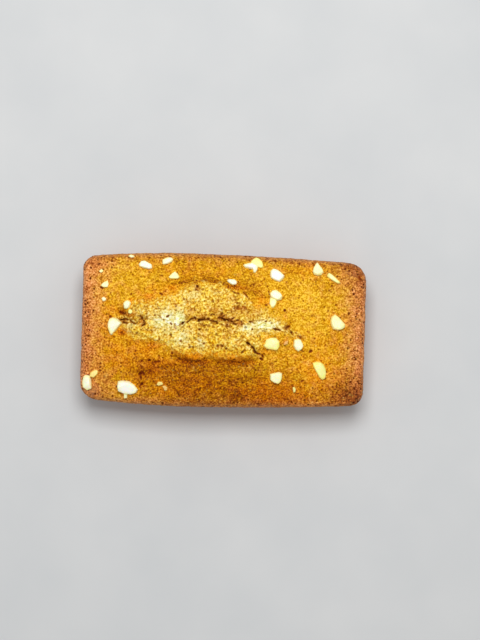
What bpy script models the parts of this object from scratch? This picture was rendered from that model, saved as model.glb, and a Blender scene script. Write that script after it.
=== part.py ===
"""A financier: a small almond sponge bar baked in a flared tin. Its domed top has burst along the middle, so
that the open crumb stands proud of the browned crust, and chopped almonds are baked into it.

Lengths are millimetres until the last step, which scales the mesh to metres. X runs along the cake, Y across
it and Z up. The origin is the middle of the flat base."""

import math
import random

import bmesh
import bpy
from mathutils import Matrix, Vector, noise

MM = 0.001
NAME = "financier_cake"
COLOUR, ROUGHNESS = (0.52, 0.24, 0.05), 0.8

# The tin: a flared rectangle with rounded corners and slightly bowed long sides
LENGTH = 85.0
WIDTH = 46.0
WIDEST_AT = -12.0  # x where the sides stand furthest apart
BOW = 1.8  # how much narrower each half is at the two ends
CORNERS = {(-1, 1): 3.6, (-1, -1): 5.0, (1, 1): 5.6, (1, -1): 4.3}  # radius, by side in x and y
WALL_TOP = 13.6  # where the straight wall ends and the rim turns over
RIM_RADIUS = 1.9
LEAN = math.radians(15.5)  # of the wall, outwards from the upright
BASE_RADIUS = 2.2
UNEVEN, UNEVEN_SIZE = 0.035, 22.0  # share by which the rim's height wanders, and over what distance
DENT, DENT_SIZE = 0.4, 9.0  # of the wall

# The top crust
DOME = 5.9
DOME_POWERS = (2.6, 2.3)  # along and across: the higher, the flatter in the middle
SWELL, SWELL_SIZES = 0.4, ((13.0, 1.0), (4.0, 0.4))  # slow swells of the crust: their sizes and shares
INLAND = 0.15  # share of the half width over which the crust's relief dies away at the rim

# The burst, an eye-shaped mound: x, y along its middle, its upper edge and its lower edge
BURST_MIDDLE = ((-32.5, 3.0), (8.0, 2.6), (24.0, -1.2))
BURST_ABOVE = (
    (-32.5, 3.0), (-31.0, 4.8), (-28.4, 7.5), (-24.4, 10.6), (-19.7, 12.3), (-14.4, 13.8), (-9.6, 14.9),
    (-4.9, 15.4), (1.1, 14.9), (5.9, 13.3), (10.1, 11.2), (13.7, 8.6), (17.5, 5.3), (21.5, 1.6), (24.0, -1.2),
)
BURST_BELOW = (
    (-32.5, 3.0), (-31.0, 0.6), (-28.7, -1.6), (-22.1, -4.2), (-17.3, -6.4), (-13.5, -8.1), (-11.0, -8.8),
    (-8.0, -9.1), (-5.2, -8.8), (-3.7, -7.9), (-2.2, -8.6), (1.0, -9.0), (5.0, -8.9), (8.5, -8.2),
    (12.0, -7.9), (15.5, -6.9), (19.0, -5.2), (22.0, -3.2), (24.0, -1.2),
)
RISE = 1.5  # how far the crumb swells above the dome, beside the step at its edge
STEP_ABOVE, STEP_SOFT_ABOVE = 0.45, 0.22  # the step from crust to crumb: its height, its width as a share
STEP_BELOW = ((-17.0, 0.2), (-14.0, 0.5), (-11.0, 1.0), (7.0, 1.0), (11.0, 0.6), (15.0, 0.2))  # x, height
STEP_SOFT_BELOW = (  # x, width as a share
    (-17.0, 0.5), (-14.0, 0.3), (-11.0, 0.09), (7.0, 0.09), (11.0, 0.2), (14.0, 0.4),
)
GROOVE, GROOVE_AT, GROOVE_HALF = 0.45, 1.09, 0.07  # furrow in the crust along the step
GROOVE_BELOW = ((-16.0, 0.0), (-12.0, 0.5), (8.0, 0.5), (12.0, 0.0))  # x, how much of it the lower side has
RAGGED, RAGGED_SIZES = 0.04, ((3.5, 1.0), (1.6, 0.6))  # how much the burst's edge wanders, as a share
LUMP, LUMP_SIZES = 0.5, ((2.6, 1.0), (1.2, 0.6))  # lumps of the open crumb
FULL_REACH = 9.0  # where the burst's edge is nearer to its middle than this, the burst is lower
LEAST_REACH = 0.01

# The crack, from left to right: x, y, depth
CRACK = (
    (-32.0, 3.0, 0.0), (-30.7, 2.5, 1.0), (-29.7, 2.7, 1.2), (-28.6, 2.4, 1.0), (-27.2, 1.9, 0.7),
    (-25.7, 1.8, 0.6), (-24.3, 3.0, 0.8), (-20.0, 2.4, 0.2), (-14.0, 0.8, 0.3), (-12.2, 1.9, 0.6),
    (-10.4, 2.7, 0.6), (-9.0, 3.4, 0.7), (-7.4, 3.1, 0.8), (-5.2, 3.4, 0.9), (-3.8, 3.2, 0.8),
    (-2.0, 2.8, 0.8), (-0.3, 3.5, 1.3), (1.2, 3.2, 1.3), (2.6, 2.8, 1.3), (4.4, 2.5, 1.1),
    (5.6, 2.6, 0.7), (8.3, 2.9, 0.6), (12.3, 3.7, 0.4), (14.4, 2.7, 0.5), (15.6, 1.1, 0.7),
    (16.9, 0.8, 0.5), (19.2, 1.7, 0.8), (20.3, 0.2, 0.7), (23.0, -1.2, 0.4), (24.0, -1.6, 0.0),
)
CRACK_HALF, CRACK_POWER = 1.1, 2.2  # above 1, the crack is a slit with rounded lips
CRACK_JAG, CRACK_JAG_SIZE = 0.15, 2.2
VALLEY, VALLEY_HALF = 0.6, 3.5  # the lips roll down into the crack

# A short tear across the lower lip, whose right edge curls up: x, y of its two ends
TEAR = ((7.0, -3.2), (10.9, -6.7))
TEAR_DEPTH, TEAR_HALF, TEAR_END = 1.3, 0.8, 1.0
FLAP, FLAP_AT, FLAP_HALF = 0.5, 1.3, 0.9

# Holes where large bubbles broke: x, y, radius, depth
HOLES = (
    (-30.6, 4.9, 1.9, 1.2), (-24.3, 2.9, 1.4, 0.8), (-7.9, 12.5, 1.3, 0.5), (4.9, 7.0, 1.7, 0.6),
    (26.4, 4.4, 1.1, 0.6), (-24.2, -13.2, 1.0, 0.2), (-24.6, -16.6, 0.8, 0.2), (19.2, 2.4, 1.3, 0.6),
)

# The mesh: cells across the top, and rings down the rim, the wall and the turn into the base
COLUMNS, ROWS = 67, 42
COLUMN_BANDS = ((-1.0, -1.0), (-0.80, -0.77), (0.62, 0.58), (1.0, 1.0))
ROW_BANDS = ((-1.0, -1.0), (-0.66, -0.47), (0.80, 0.70), (1.0, 1.0))  # finer rows where the burst is
RIM_RINGS, WALL_RINGS, BASE_RINGS = 4, 2, 2

# Chopped almonds: how thick each is, then the corners of its outline from above, x and y, in order round it
ALMONDS = (
    (2.7, (-31.0, -15.9), (-29.4, -15.6), (-27.6, -15.8), (-26.0, -16.7), (-24.9, -18.1), (-25.4, -19.3),
     (-27.1, -19.7), (-28.8, -19.6), (-30.9, -18.9), (-31.2, -17.4)),
    (2.0, (-41.6, -15.1), (-40.9, -14.3), (-39.7, -14.4), (-39.2, -15.4), (-39.0, -17.0), (-38.9, -18.4),
     (-40.1, -18.9), (-41.2, -18.2), (-41.7, -16.6)),
    (1.5, (-39.5, -14.8), (-39.3, -13.6), (-38.4, -12.9), (-37.5, -12.6), (-36.9, -13.1), (-37.2, -14.1),
     (-38.3, -15.1)),
    (2.4, (-34.0, 2.7), (-33.0, 3.1), (-31.6, 2.8), (-30.1, 1.5), (-31.1, 0.4), (-32.0, -0.8),
     (-33.0, -2.1), (-33.6, -2.0), (-34.2, -0.2), (-34.5, 1.2)),
    (1.2, (-37.0, 12.5), (-36.0, 13.6), (-34.8, 14.1), (-34.5, 12.9), (-34.9, 12.0), (-36.1, 12.0)),
    (1.6, (-29.9, 7.4), (-29.1, 8.2), (-28.1, 8.3), (-27.6, 7.5), (-28.1, 6.2), (-28.7, 5.7), (-29.6, 5.8)),
    (1.8, (-25.9, 19.2), (-25.1, 20.1), (-24.1, 20.3), (-22.9, 19.7), (-21.8, 19.1), (-21.7, 18.0),
     (-22.6, 17.7), (-24.2, 18.1), (-25.5, 18.5)),
    (1.4, (-18.8, 20.7), (-17.4, 21.3), (-16.3, 21.6), (-15.5, 21.1), (-15.9, 20.2), (-17.2, 19.5),
     (-18.6, 19.2)),
    (1.3, (-16.8, 15.6), (-15.9, 16.6), (-14.9, 17.4), (-14.1, 16.8), (-13.4, 15.7), (-14.0, 15.1),
     (-16.3, 15.1)),
    (1.2, (0.6, 15.1), (1.6, 15.5), (3.1, 15.5), (3.8, 14.8), (3.5, 13.9), (2.3, 13.8), (1.2, 14.4)),
    (1.5, (7.5, 20.7), (8.1, 21.9), (9.2, 22.4), (10.3, 21.9), (11.1, 20.8), (11.5, 19.1), (10.6, 18.7),
     (9.6, 19.4)),
    (1.9, (5.3, 19.7), (6.5, 20.2), (8.1, 20.6), (9.5, 20.3), (9.9, 19.3), (9.4, 18.6), (7.8, 18.7),
     (5.9, 19.1)),
    (1.6, (8.3, 19.3), (9.7, 19.4), (9.7, 18.6), (9.2, 17.7), (8.5, 17.6)),
    (2.3, (13.6, 18.3), (14.3, 19.0), (15.6, 18.9), (16.8, 17.9), (17.8, 16.8), (17.3, 15.8), (16.3, 15.1),
     (14.9, 15.5), (13.8, 16.1), (13.5, 17.1)),
    (2.0, (27.4, 21.4), (28.2, 20.7), (29.0, 19.5), (29.5, 18.4), (28.8, 17.5), (27.7, 17.2), (26.6, 17.6),
     (26.2, 18.5), (26.5, 19.8)),
    (1.3, (30.9, 18.3), (31.9, 18.0), (32.9, 17.0), (34.0, 16.1), (34.7, 15.3), (33.8, 15.1), (32.5, 15.8),
     (31.1, 16.7), (30.4, 17.4)),
    (2.1, (13.5, 11.5), (14.3, 12.5), (15.4, 12.7), (16.7, 11.9), (17.4, 10.8), (17.0, 9.8), (15.9, 9.5),
     (13.9, 10.4)),
    (1.6, (13.7, 10.4), (15.3, 10.4), (15.8, 9.2), (15.3, 8.0), (14.7, 7.2), (13.9, 7.3), (13.5, 8.5)),
    (2.2, (32.1, 5.2), (33.1, 5.9), (34.1, 5.4), (35.2, 4.2), (36.4, 3.1), (36.3, 2.2), (35.5, 1.5),
     (34.1, 1.2), (32.7, 1.5), (32.1, 2.6), (31.8, 3.9)),
    (2.3, (12.8, -1.9), (14.3, -1.4), (15.8, -1.5), (16.8, -2.5), (17.0, -3.6), (16.5, -4.8), (15.9, -5.3),
     (14.5, -4.9), (12.8, -4.7), (12.0, -3.9)),
    (2.0, (21.1, -2.0), (22.2, -1.5), (23.2, -1.9), (23.8, -3.0), (24.0, -3.9), (23.4, -4.8), (22.5, -5.4),
     (21.6, -4.8), (21.0, -3.8)),
    (2.1, (26.8, -8.6), (28.0, -8.2), (29.3, -8.3), (30.3, -9.1), (30.9, -10.3), (31.2, -11.8),
     (30.9, -13.2), (30.0, -13.7), (29.1, -13.0), (28.2, -11.5), (27.2, -10.0)),
    (2.0, (14.3, -12.2), (15.7, -12.0), (17.0, -11.5), (17.9, -12.0), (18.0, -13.3), (17.6, -14.5),
     (16.8, -15.2), (15.5, -14.9), (14.4, -14.1)),
    (1.1, (-36.6, 8.7), (-36.0, 9.2), (-35.2, 8.8), (-35.2, 8.1), (-36.0, 7.8)),
    (0.9, (-29.1, 21.6), (-28.1, 22.0), (-27.0, 21.5), (-28.0, 21.0)),
    (1.0, (-19.4, -16.5), (-18.9, -15.6), (-17.7, -15.6), (-17.3, -16.3), (-18.0, -16.7), (-18.9, -16.8)),
    (0.9, (-17.6, -16.9), (-16.9, -16.7), (-16.1, -17.2), (-16.2, -18.1), (-16.9, -18.3)),
    (0.9, (21.2, -16.2), (21.7, -15.9), (22.2, -16.6), (22.1, -17.5), (21.5, -17.8)),
    (1.0, (-28.4, 5.3), (-28.0, 5.8), (-27.3, 5.5), (-27.0, 4.8), (-27.5, 4.3), (-28.2, 4.5)),
    (1.0, (-29.1, -19.6), (-28.1, -19.6), (-28.1, -20.9), (-29.0, -21.0)),
    (0.8, (18.0, -3.6), (18.4, -2.5), (19.4, -2.2), (19.3, -3.3)),
    (0.9, (-37.7, 16.8), (-36.9, 17.5), (-36.2, 16.9), (-37.0, 16.3)),
)
CHIP_LAYERS = ((-0.5, 0.75), (0.0, 1.0), (0.38, 0.87))  # height in thicknesses, share of the outline
CHIP_PROUD, CHIP_PROUD_LEAST = 0.12, 0.4  # how far its middle is above the crust, in thicknesses and in mm
CHIP_SPREAD = 0.05  # how far the corners lie outside the line round the middle of its rim
CHIP_UNEVEN = 0.16  # how far a corner strays up or down, in thicknesses
SEED = 11


def ramp(value, low, high):
    """0 below low, 1 above high, with a smooth rise between."""
    share = min(max((value - low) / (high - low), 0.0), 1.0)
    return share * share * (3 - 2 * share)


def bump(distance, half):
    """1 at no distance, falling away to 0 like a bell this wide."""
    return math.exp(-((distance / half) ** 2))


def between(points, at):
    """The values at a place on a broken line, whose points are rows of (place, value, ...)."""
    at = min(max(at, points[0][0]), points[-1][0])
    for (low, *start), (high, *end) in zip(points, points[1:]):
        if at <= high:
            share = (at - low) / (high - low)
            return [a + (b - a) * share for a, b in zip(start, end)]


def wander(x, y, size, layer):
    """Smooth noise from about -1 to 1 with bumps this many millimetres across. Layers differ in pattern."""
    return noise.noise(Vector((x / size, y / size, layer)))


def wanders(x, y, sizes, layer):
    """A sum of such noises, from (size, share) pairs."""
    return sum(share * wander(x, y, size, layer + k) for k, (size, share) in enumerate(sizes))


def half_width(x):
    """Half the cake's width at x, in the plane of the rim."""
    reach = LENGTH / 2 - WIDEST_AT if x > WIDEST_AT else LENGTH / 2 + WIDEST_AT
    return WIDTH / 2 - BOW * ((x - WIDEST_AT) / reach) ** 2


def plan_point(u, v, inset):
    """The square from -1 to 1 laid on the tin's plan, drawn in by inset, its corners on quarter circles."""
    side_x, side_y = (1 if u > 0 else -1), (1 if v > 0 else -1)
    long_half, wide_half = LENGTH / 2 - inset, WIDTH / 2 - inset
    radius = max(CORNERS[side_x, side_y] - inset, CORNERS[side_x, side_y] / 2)
    x, y = u * long_half, v * wide_half
    over_x, over_y = 1 + (abs(x) - long_half) / radius, 1 + (abs(y) - wide_half) / radius
    if over_x > 0 and over_y > 0:
        x = side_x * (long_half - radius + radius * over_x * math.sqrt(1 - over_y**2 / 2))
        y = side_y * (wide_half - radius + radius * over_y * math.sqrt(1 - over_x**2 / 2))
    return x, y * half_width(x) / (WIDTH / 2)


def burst(x, y):
    """A point's place in the burst: 0 on its middle line and 1 on its edge, how far that edge is, and which
    one it is (1 above the middle, -1 below)."""
    middle, = between(BURST_MIDDLE, x)
    side = 1 if y > middle else -1
    edge, = between(BURST_ABOVE if side > 0 else BURST_BELOW, x)
    reach = abs(edge - middle)
    ragged = 1 + RAGGED * wanders(x, y, RAGGED_SIZES, 1)
    return abs(y - middle) / max(reach, LEAST_REACH) * ragged, reach, side


def tear(x, y):
    """The short tear across the lower lip: a slot with one raised edge."""
    (ax, ay), (bx, by) = TEAR
    length = math.hypot(bx - ax, by - ay)
    along = ((x - ax) * (bx - ax) + (y - ay) * (by - ay)) / length
    aside = ((x - ax) * (ay - by) + (y - ay) * (bx - ax)) / length
    ends = ramp(along, -TEAR_END, TEAR_END) * ramp(length - along, -TEAR_END, TEAR_END)
    slot = TEAR_DEPTH * max(1 - abs(aside) / TEAR_HALF, 0)
    return ends * (FLAP * bump(aside - FLAP_AT, FLAP_HALF) - slot)


def holes(x, y):
    """How deep the holes left by broken bubbles go at a point."""
    total = 0.0
    for hole_x, hole_y, radius, depth in HOLES:
        away = math.hypot(x - hole_x, y - hole_y) / radius
        total += depth * max(1 - away**2, 0) ** 1.5
    return total


def mound(x, y):
    """Height of the burst above the dome: the swollen crumb and its step down to the crust."""
    share, reach, side = burst(x, y)
    step = STEP_ABOVE if side > 0 else between(STEP_BELOW, x)[0]
    soft = STEP_SOFT_ABOVE if side > 0 else between(STEP_SOFT_BELOW, x)[0]
    size = ramp(reach, 0, FULL_REACH)
    crumb = 1 - ramp(share, 1 - soft, 1 + soft / 2)
    swollen = size * (step + RISE * max(1 - share**2, 0))
    furrow = GROOVE * size * bump(share - GROOVE_AT, GROOVE_HALF)
    if side < 0:
        furrow *= between(GROOVE_BELOW, x)[0]
    return crumb * (swollen + LUMP * wanders(x, y, LUMP_SIZES, 3)) - furrow


def crack(x, y):
    """How deep the crack is at a point, with the valley the lips form beside it."""
    middle, depth = between(CRACK, x)
    away = abs(y - middle - CRACK_JAG * wander(x, 0, CRACK_JAG_SIZE, 5))
    slit = max(1 - away / CRACK_HALF, 0) ** CRACK_POWER
    return depth * slit + VALLEY * min(depth, 1) * bump(away, VALLEY_HALF)


def crust(x, y):
    """Height of the top above the rim's own curve."""
    along, across = abs(2 * x / LENGTH), abs(y) / half_width(x)
    dome = DOME * max(1 - along ** DOME_POWERS[0], 0) * max(1 - across ** DOME_POWERS[1], 0)
    inland = ramp(1 - max(along, across), 0, INLAND)
    swell = SWELL * wanders(x, y, SWELL_SIZES, 6)
    return dome + inland * (swell + mound(x, y) + tear(x, y) - crack(x, y) - holes(x, y))


def rim_height(x, y):
    """Height of the top at a point, with the rim's turn and everything on it, but not the almonds."""
    inside = min(LENGTH / 2 - abs(x), half_width(x) - abs(y), RIM_RADIUS)
    turn = math.sqrt(max(RIM_RADIUS**2 - (RIM_RADIUS - max(inside, 0)) ** 2, 0))
    return (WALL_TOP + turn) * (1 + UNEVEN * wander(x, y, UNEVEN_SIZE, 8)) + crust(x, y)


def arc(radius, start, end, steps):
    """(out, up) points on an arc between two angles from the level, the first one left out."""
    for k in range(1, steps + 1):
        angle = start + (end - start) * k / steps
        yield radius * math.cos(angle), radius * math.sin(angle)


def profile():
    """(inset, height) of each ring, from the edge of the top down the rim and the wall to the base."""
    rings = [(RIM_RADIUS, WALL_TOP + RIM_RADIUS)]
    for out, up in arc(RIM_RADIUS, math.pi / 2, -LEAN, RIM_RINGS):
        rings.append((RIM_RADIUS - out, WALL_TOP + up))
    wall_inset, wall_top = rings[-1]
    wall_foot = BASE_RADIUS * (1 - math.sin(LEAN))
    for k in range(1, WALL_RINGS + 1):
        down = (wall_top - wall_foot) * k / WALL_RINGS
        rings.append((wall_inset + down * math.tan(LEAN), wall_top - down))
    foot_inset = rings[-1][0] + BASE_RADIUS * math.cos(LEAN)
    for out, up in arc(BASE_RADIUS, -LEAN, -math.pi / 2, BASE_RINGS):
        rings.append((foot_inset - out, BASE_RADIUS + up))
    return rings


def cake_point(u, v, ring, inset, height):
    """A point of the unit shape on the cake. Ring 0 is the edge of the top and all within it."""
    x, y = plan_point(u, v, inset)
    height *= 1 + UNEVEN * wander(x, y, UNEVEN_SIZE, 8)
    if ring <= RIM_RINGS:
        return Vector((x, y, height + crust(x, y)))
    dent = DENT * wander(x, y, DENT_SIZE, height / DENT_SIZE) * math.sin(math.pi * min(height / WALL_TOP, 1))
    return Vector((x * (1 - dent / (LENGTH / 2)), y * (1 - dent / (WIDTH / 2)), height))


def unit_shape(rings):
    """A grid from -1 to 1, with rings of wall hung from its edge, each at z = -its number, and a floor."""
    bm = bmesh.new()
    bmesh.ops.create_grid(bm, x_segments=COLUMNS, y_segments=ROWS, size=1.0)
    edge = [e for e in bm.edges if e.is_boundary]
    for _ in rings[1:]:
        made = bmesh.ops.extrude_edge_only(bm, edges=edge)["geom"]
        bmesh.ops.translate(bm, vec=(0, 0, -1), verts=[g for g in made if isinstance(g, bmesh.types.BMVert)])
        edge = [g for g in made if isinstance(g, bmesh.types.BMEdge) and g.is_boundary]
    bmesh.ops.contextual_create(bm, geom=edge)
    bmesh.ops.recalc_face_normals(bm, faces=bm.faces)
    return bm


def sponge():
    """Baked almond sponge: one matt golden brown for crust and crumb alike."""
    made = bpy.data.materials.new("baked_sponge")
    made.use_nodes = True
    shader = made.node_tree.nodes["Principled BSDF"]
    shader.inputs["Base Color"].default_value = (*COLOUR, 1.0)
    shader.inputs["Roughness"].default_value = ROUGHNESS
    made.diffuse_color = (*COLOUR, 1.0)
    return made


def finished(bm, name, collection, material):
    """The bmesh, in millimetres, as an object in metres."""
    bmesh.ops.scale(bm, vec=(MM, MM, MM), verts=bm.verts)
    mesh = bpy.data.meshes.new(name)
    bm.to_mesh(mesh)
    bm.free()
    mesh.materials.append(material)
    made = bpy.data.objects.new(name, mesh)
    collection.objects.link(made)
    return made


def cake(collection, material):
    rings = profile()
    bm = unit_shape(rings)
    for vert in bm.verts:
        u, v, level = vert.co
        ring = round(-level)
        vert.co = cake_point(between(COLUMN_BANDS, u)[0], between(ROW_BANDS, v)[0], ring, *rings[ring])
    return finished(bm, NAME, collection, material)


def chip_plan(corners):
    """The middle of an outline, and its corners from there."""
    middle = sum((Vector(corner) for corner in corners), Vector((0, 0))) / len(corners)
    away = [Vector(corner) - middle for corner in corners]
    return middle, [corner * (1 + CHIP_SPREAD / corner.length) for corner in away]


def lie(middle, reach):
    """The turn that lays a chip this far across on the slope of the crust."""
    x, y = middle
    slope_x = (rim_height(x + reach, y) - rim_height(x - reach, y)) / (2 * reach)
    slope_y = (rim_height(x, y + reach) - rim_height(x, y - reach)) / (2 * reach)
    return Vector((0, 0, 1)).rotation_difference(Vector((-slope_x, -slope_y, 1))).to_matrix().to_4x4()


def almond_chip(name, seed, thick, corners, collection, material):
    """A chopped piece of almond: a slab of uneven corners, widest at its waist, to which it is sunk."""
    draw = random.Random(seed)
    middle, outline = chip_plan(corners)
    bm = bmesh.new()
    for height, share in CHIP_LAYERS:
        for corner in outline:
            up = thick * (height + draw.uniform(-CHIP_UNEVEN, CHIP_UNEVEN))
            bm.verts.new((*(corner * share), up))
    hull = bmesh.ops.convex_hull(bm, input=bm.verts)
    inside = {g for g in hull["geom_interior"] + hull["geom_unused"] if isinstance(g, bmesh.types.BMVert)}
    bmesh.ops.delete(bm, geom=list(inside), context="VERTS")
    chip = finished(bm, name, collection, material)
    proud = max(CHIP_PROUD * thick, CHIP_PROUD_LEAST)
    place = Vector((*middle, rim_height(*middle) + proud)) * MM
    chip.matrix_world = Matrix.Translation(place) @ lie(middle, max(corner.length for corner in outline))


def bake_in(body, chips):
    """One union joins the chips in a collection to the cake, which then owns their shape."""
    join = body.modifiers.new("almonds_baked_in", "BOOLEAN")
    join.operation = "UNION"
    join.operand_type = "COLLECTION"
    join.collection = chips
    join.solver = "EXACT"
    bpy.context.view_layer.update()
    joined = bpy.data.meshes.new_from_object(body.evaluated_get(bpy.context.evaluated_depsgraph_get()))
    body.modifiers.clear()
    body.data = joined
    for chip in list(chips.objects):
        bpy.data.objects.remove(chip)
    bpy.data.collections.remove(chips)


def main():
    for old in list(bpy.data.objects):
        bpy.data.objects.remove(old)
    shown = bpy.data.collections.new(NAME)
    chips = bpy.data.collections.new("almond_chips")
    bpy.context.scene.collection.children.link(shown)
    bpy.context.scene.collection.children.link(chips)
    material = sponge()
    body = cake(shown, material)
    for index, (thick, *corners) in enumerate(ALMONDS):
        almond_chip(f"almond_chip_{index:02d}", SEED + index, thick, corners, chips, material)
    bake_in(body, chips)


main()
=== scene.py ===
# %% [markdown]
# # A financier
# A financier is a small almond sponge, baked in a flared bar tin. This one rose, split along the middle and
# pushed a mound of pale crumb out through its golden crust, with chopped almonds baked in.
#
# The lesson builds it from the outside in: the form, as one formula over a grid; the fine relief of crust and
# crumb, with Geometry Nodes; the colours, which follow what the oven did; then the loose crumbs, the almonds
# and the light.

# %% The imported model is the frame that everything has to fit
import math
import random

import bmesh
import bpy
from mathutils import Matrix, Vector, noise


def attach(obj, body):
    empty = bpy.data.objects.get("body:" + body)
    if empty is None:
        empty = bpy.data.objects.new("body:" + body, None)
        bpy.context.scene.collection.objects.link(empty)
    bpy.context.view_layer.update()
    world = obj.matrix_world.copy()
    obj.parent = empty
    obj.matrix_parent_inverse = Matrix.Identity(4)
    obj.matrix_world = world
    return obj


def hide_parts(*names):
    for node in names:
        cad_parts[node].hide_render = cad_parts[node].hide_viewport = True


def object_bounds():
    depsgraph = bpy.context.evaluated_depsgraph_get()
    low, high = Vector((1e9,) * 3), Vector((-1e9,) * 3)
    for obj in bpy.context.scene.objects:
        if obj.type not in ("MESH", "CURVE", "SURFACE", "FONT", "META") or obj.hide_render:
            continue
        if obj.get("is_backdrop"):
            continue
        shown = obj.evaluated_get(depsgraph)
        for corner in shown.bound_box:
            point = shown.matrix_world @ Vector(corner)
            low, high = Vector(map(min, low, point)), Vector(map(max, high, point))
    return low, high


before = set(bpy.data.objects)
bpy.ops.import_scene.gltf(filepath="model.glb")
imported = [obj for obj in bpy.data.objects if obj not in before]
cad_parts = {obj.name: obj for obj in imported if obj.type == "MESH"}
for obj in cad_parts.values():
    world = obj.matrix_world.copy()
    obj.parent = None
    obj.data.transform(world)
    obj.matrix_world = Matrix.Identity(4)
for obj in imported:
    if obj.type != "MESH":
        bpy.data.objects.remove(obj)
cad_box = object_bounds()
CAKE = "financier_cake"
MM = 0.001
print("the solid measures", [round((b - a) / MM, 1) for a, b in zip(*cad_box)], "mm")

# %% [markdown]
# ## The form: driving sizes
# Everything below is in millimetres, with the x axis along the cake and the y axis across it. The tin gives
# the plan, the lean of the walls and the turn of the rim. The batter gives the dome. The burst is drawn as
# three lines along the cake (its middle and its two edges), because every height in it depends on how far a
# point lies from the middle towards an edge. Sculpting the heights by hand would be the other way, and a
# formula keeps the fine mesh here the same shape as the solid it stands for.

# %% Sizes of the tin
LENGTH, WIDTH = 85.0, 46.0  # over the rim
WIDEST_AT = -12.0  # x where the long sides stand furthest apart
BOW = 1.8  # how much narrower each half is at the two ends
CORNERS = {(-1, 1): 3.6, (-1, -1): 5.0, (1, 1): 5.6, (1, -1): 4.3}  # radius, by side in x and y
WALL_TOP = 13.6  # the height where the wall starts to turn into the rim
RIM_RADIUS = 1.9
LEAN = math.radians(15.5)
BASE_RADIUS = 2.2
UNEVEN, UNEVEN_SIZE = 0.035, 22.0  # the share by which heights rise and sink, over this many mm
DENT, DENT_SIZE = 0.4, 9.0  # the same for the walls, in and out, in mm
print("the rim is", LENGTH, "by", WIDTH, "mm, and starts", WALL_TOP, "mm up")

# %% Sizes of the dome and the burst
DOME = 5.9  # how far the middle of the crust would rise above the rim without the burst
DOME_POWERS = (2.6, 2.3)  # along and across: the higher, the flatter the middle
SWELL, SWELL_SIZES = 0.4, ((13.0, 1.0), (4.0, 0.4))  # soft ups and downs, as (size, share) pairs
INLAND = 0.15  # the share of the way in from the rim over which they and the burst come in
BURST_MIDDLE = ((-32.5, 3.0), (8.0, 2.6), (24.0, -1.2))  # (x, y), as in the next two
BURST_ABOVE = (  # the edge on the far side
    (-32.5, 3.0), (-31.0, 4.8), (-28.4, 7.5), (-24.4, 10.6), (-19.7, 12.3), (-14.4, 13.8), (-9.6, 14.9),
    (-4.9, 15.4), (1.1, 14.9), (5.9, 13.3), (10.1, 11.2), (13.7, 8.6), (17.5, 5.3), (21.5, 1.6), (24.0, -1.2),
)
BURST_BELOW = (  # and on the near side
    (-32.5, 3.0), (-31.0, 0.6), (-28.7, -1.6), (-22.1, -4.2), (-17.3, -6.4), (-13.5, -8.1), (-11.0, -8.8),
    (-8.0, -9.1), (-5.2, -8.8), (-3.7, -7.9), (-2.2, -8.6), (1.0, -9.0), (5.0, -8.9), (8.5, -8.2),
    (12.0, -7.9), (15.5, -6.9), (19.0, -5.2), (22.0, -3.2), (24.0, -1.2),
)
RISE = 1.5  # the middle above the edges
STEP_ABOVE, STEP_SOFT_ABOVE = 0.45, 0.22  # the edge above the crust; the share of the way it falls over
STEP_BELOW = (  # x, and the same on the near side, where it is a ledge
    (-17.0, 0.2), (-14.0, 0.5), (-11.0, 1.0), (7.0, 1.0), (11.0, 0.6), (15.0, 0.2),
)
STEP_SOFT_BELOW = (
    (-17.0, 0.5), (-14.0, 0.3), (-11.0, 0.09), (7.0, 0.09), (11.0, 0.2), (14.0, 0.4),
)
GROOVE, GROOVE_AT, GROOVE_HALF = 0.45, 1.09, 0.07  # depth of the furrow; its place and half width, in shares
GROOVE_BELOW = ((-16.0, 0.0), (-12.0, 0.5), (8.0, 0.5), (12.0, 0.0))  # x, how much of it the near side has
RAGGED, RAGGED_SIZES = 0.04, ((3.5, 1.0), (1.6, 0.6))  # the share by which the edges wander
LUMP, LUMP_SIZES = 0.5, ((2.6, 1.0), (1.2, 0.6))  # the lumps of the crumb
FULL_REACH = 9.0  # from middle to edge, where the burst has its full height; it is lower where it is narrower
LEAST_REACH = 0.01
print("the burst is", round(BURST_MIDDLE[-1][0] - BURST_MIDDLE[0][0], 1), "mm long")

# %% Sizes of the crack, the tear and the larger holes
CRACK = (  # x, y of its middle, depth
    (-32.0, 3.0, 0.0), (-30.7, 2.5, 1.0), (-29.7, 2.7, 1.2), (-28.6, 2.4, 1.0), (-27.2, 1.9, 0.7),
    (-25.7, 1.8, 0.6), (-24.3, 3.0, 0.8), (-20.0, 2.4, 0.2), (-14.0, 0.8, 0.3), (-12.2, 1.9, 0.6),
    (-10.4, 2.7, 0.6), (-9.0, 3.4, 0.7), (-7.4, 3.1, 0.8), (-5.2, 3.4, 0.9), (-3.8, 3.2, 0.8),
    (-2.0, 2.8, 0.8), (-0.3, 3.5, 1.3), (1.2, 3.2, 1.3), (2.6, 2.8, 1.3), (4.4, 2.5, 1.1), (5.6, 2.6, 0.7),
    (8.3, 2.9, 0.6), (12.3, 3.7, 0.4), (14.4, 2.7, 0.5), (15.6, 1.1, 0.7), (16.9, 0.8, 0.5), (19.2, 1.7, 0.8),
    (20.3, 0.2, 0.7), (23.0, -1.2, 0.4), (24.0, -1.6, 0.0),
)
CRACK_HALF, CRACK_POWER = 1.1, 2.2  # with a power above 1, the crack is a slit with rounded lips
CRACK_JAG, CRACK_JAG_SIZE = 0.15, 2.2
VALLEY, VALLEY_HALF = 0.6, 3.5  # how the lips slope into it
TEAR = ((7.0, -3.2), (10.9, -6.7))  # from the crumb, out over the ledge
TEAR_DEPTH, TEAR_HALF, TEAR_END = 1.3, 0.7, 1.0
TEAR_SHARE = 0.5  # of its depth, as the narrow breaks below have the rest
FLAP, FLAP_AT, FLAP_HALF = 0.5, 1.3, 0.9  # the crust that stands up beside it
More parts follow.
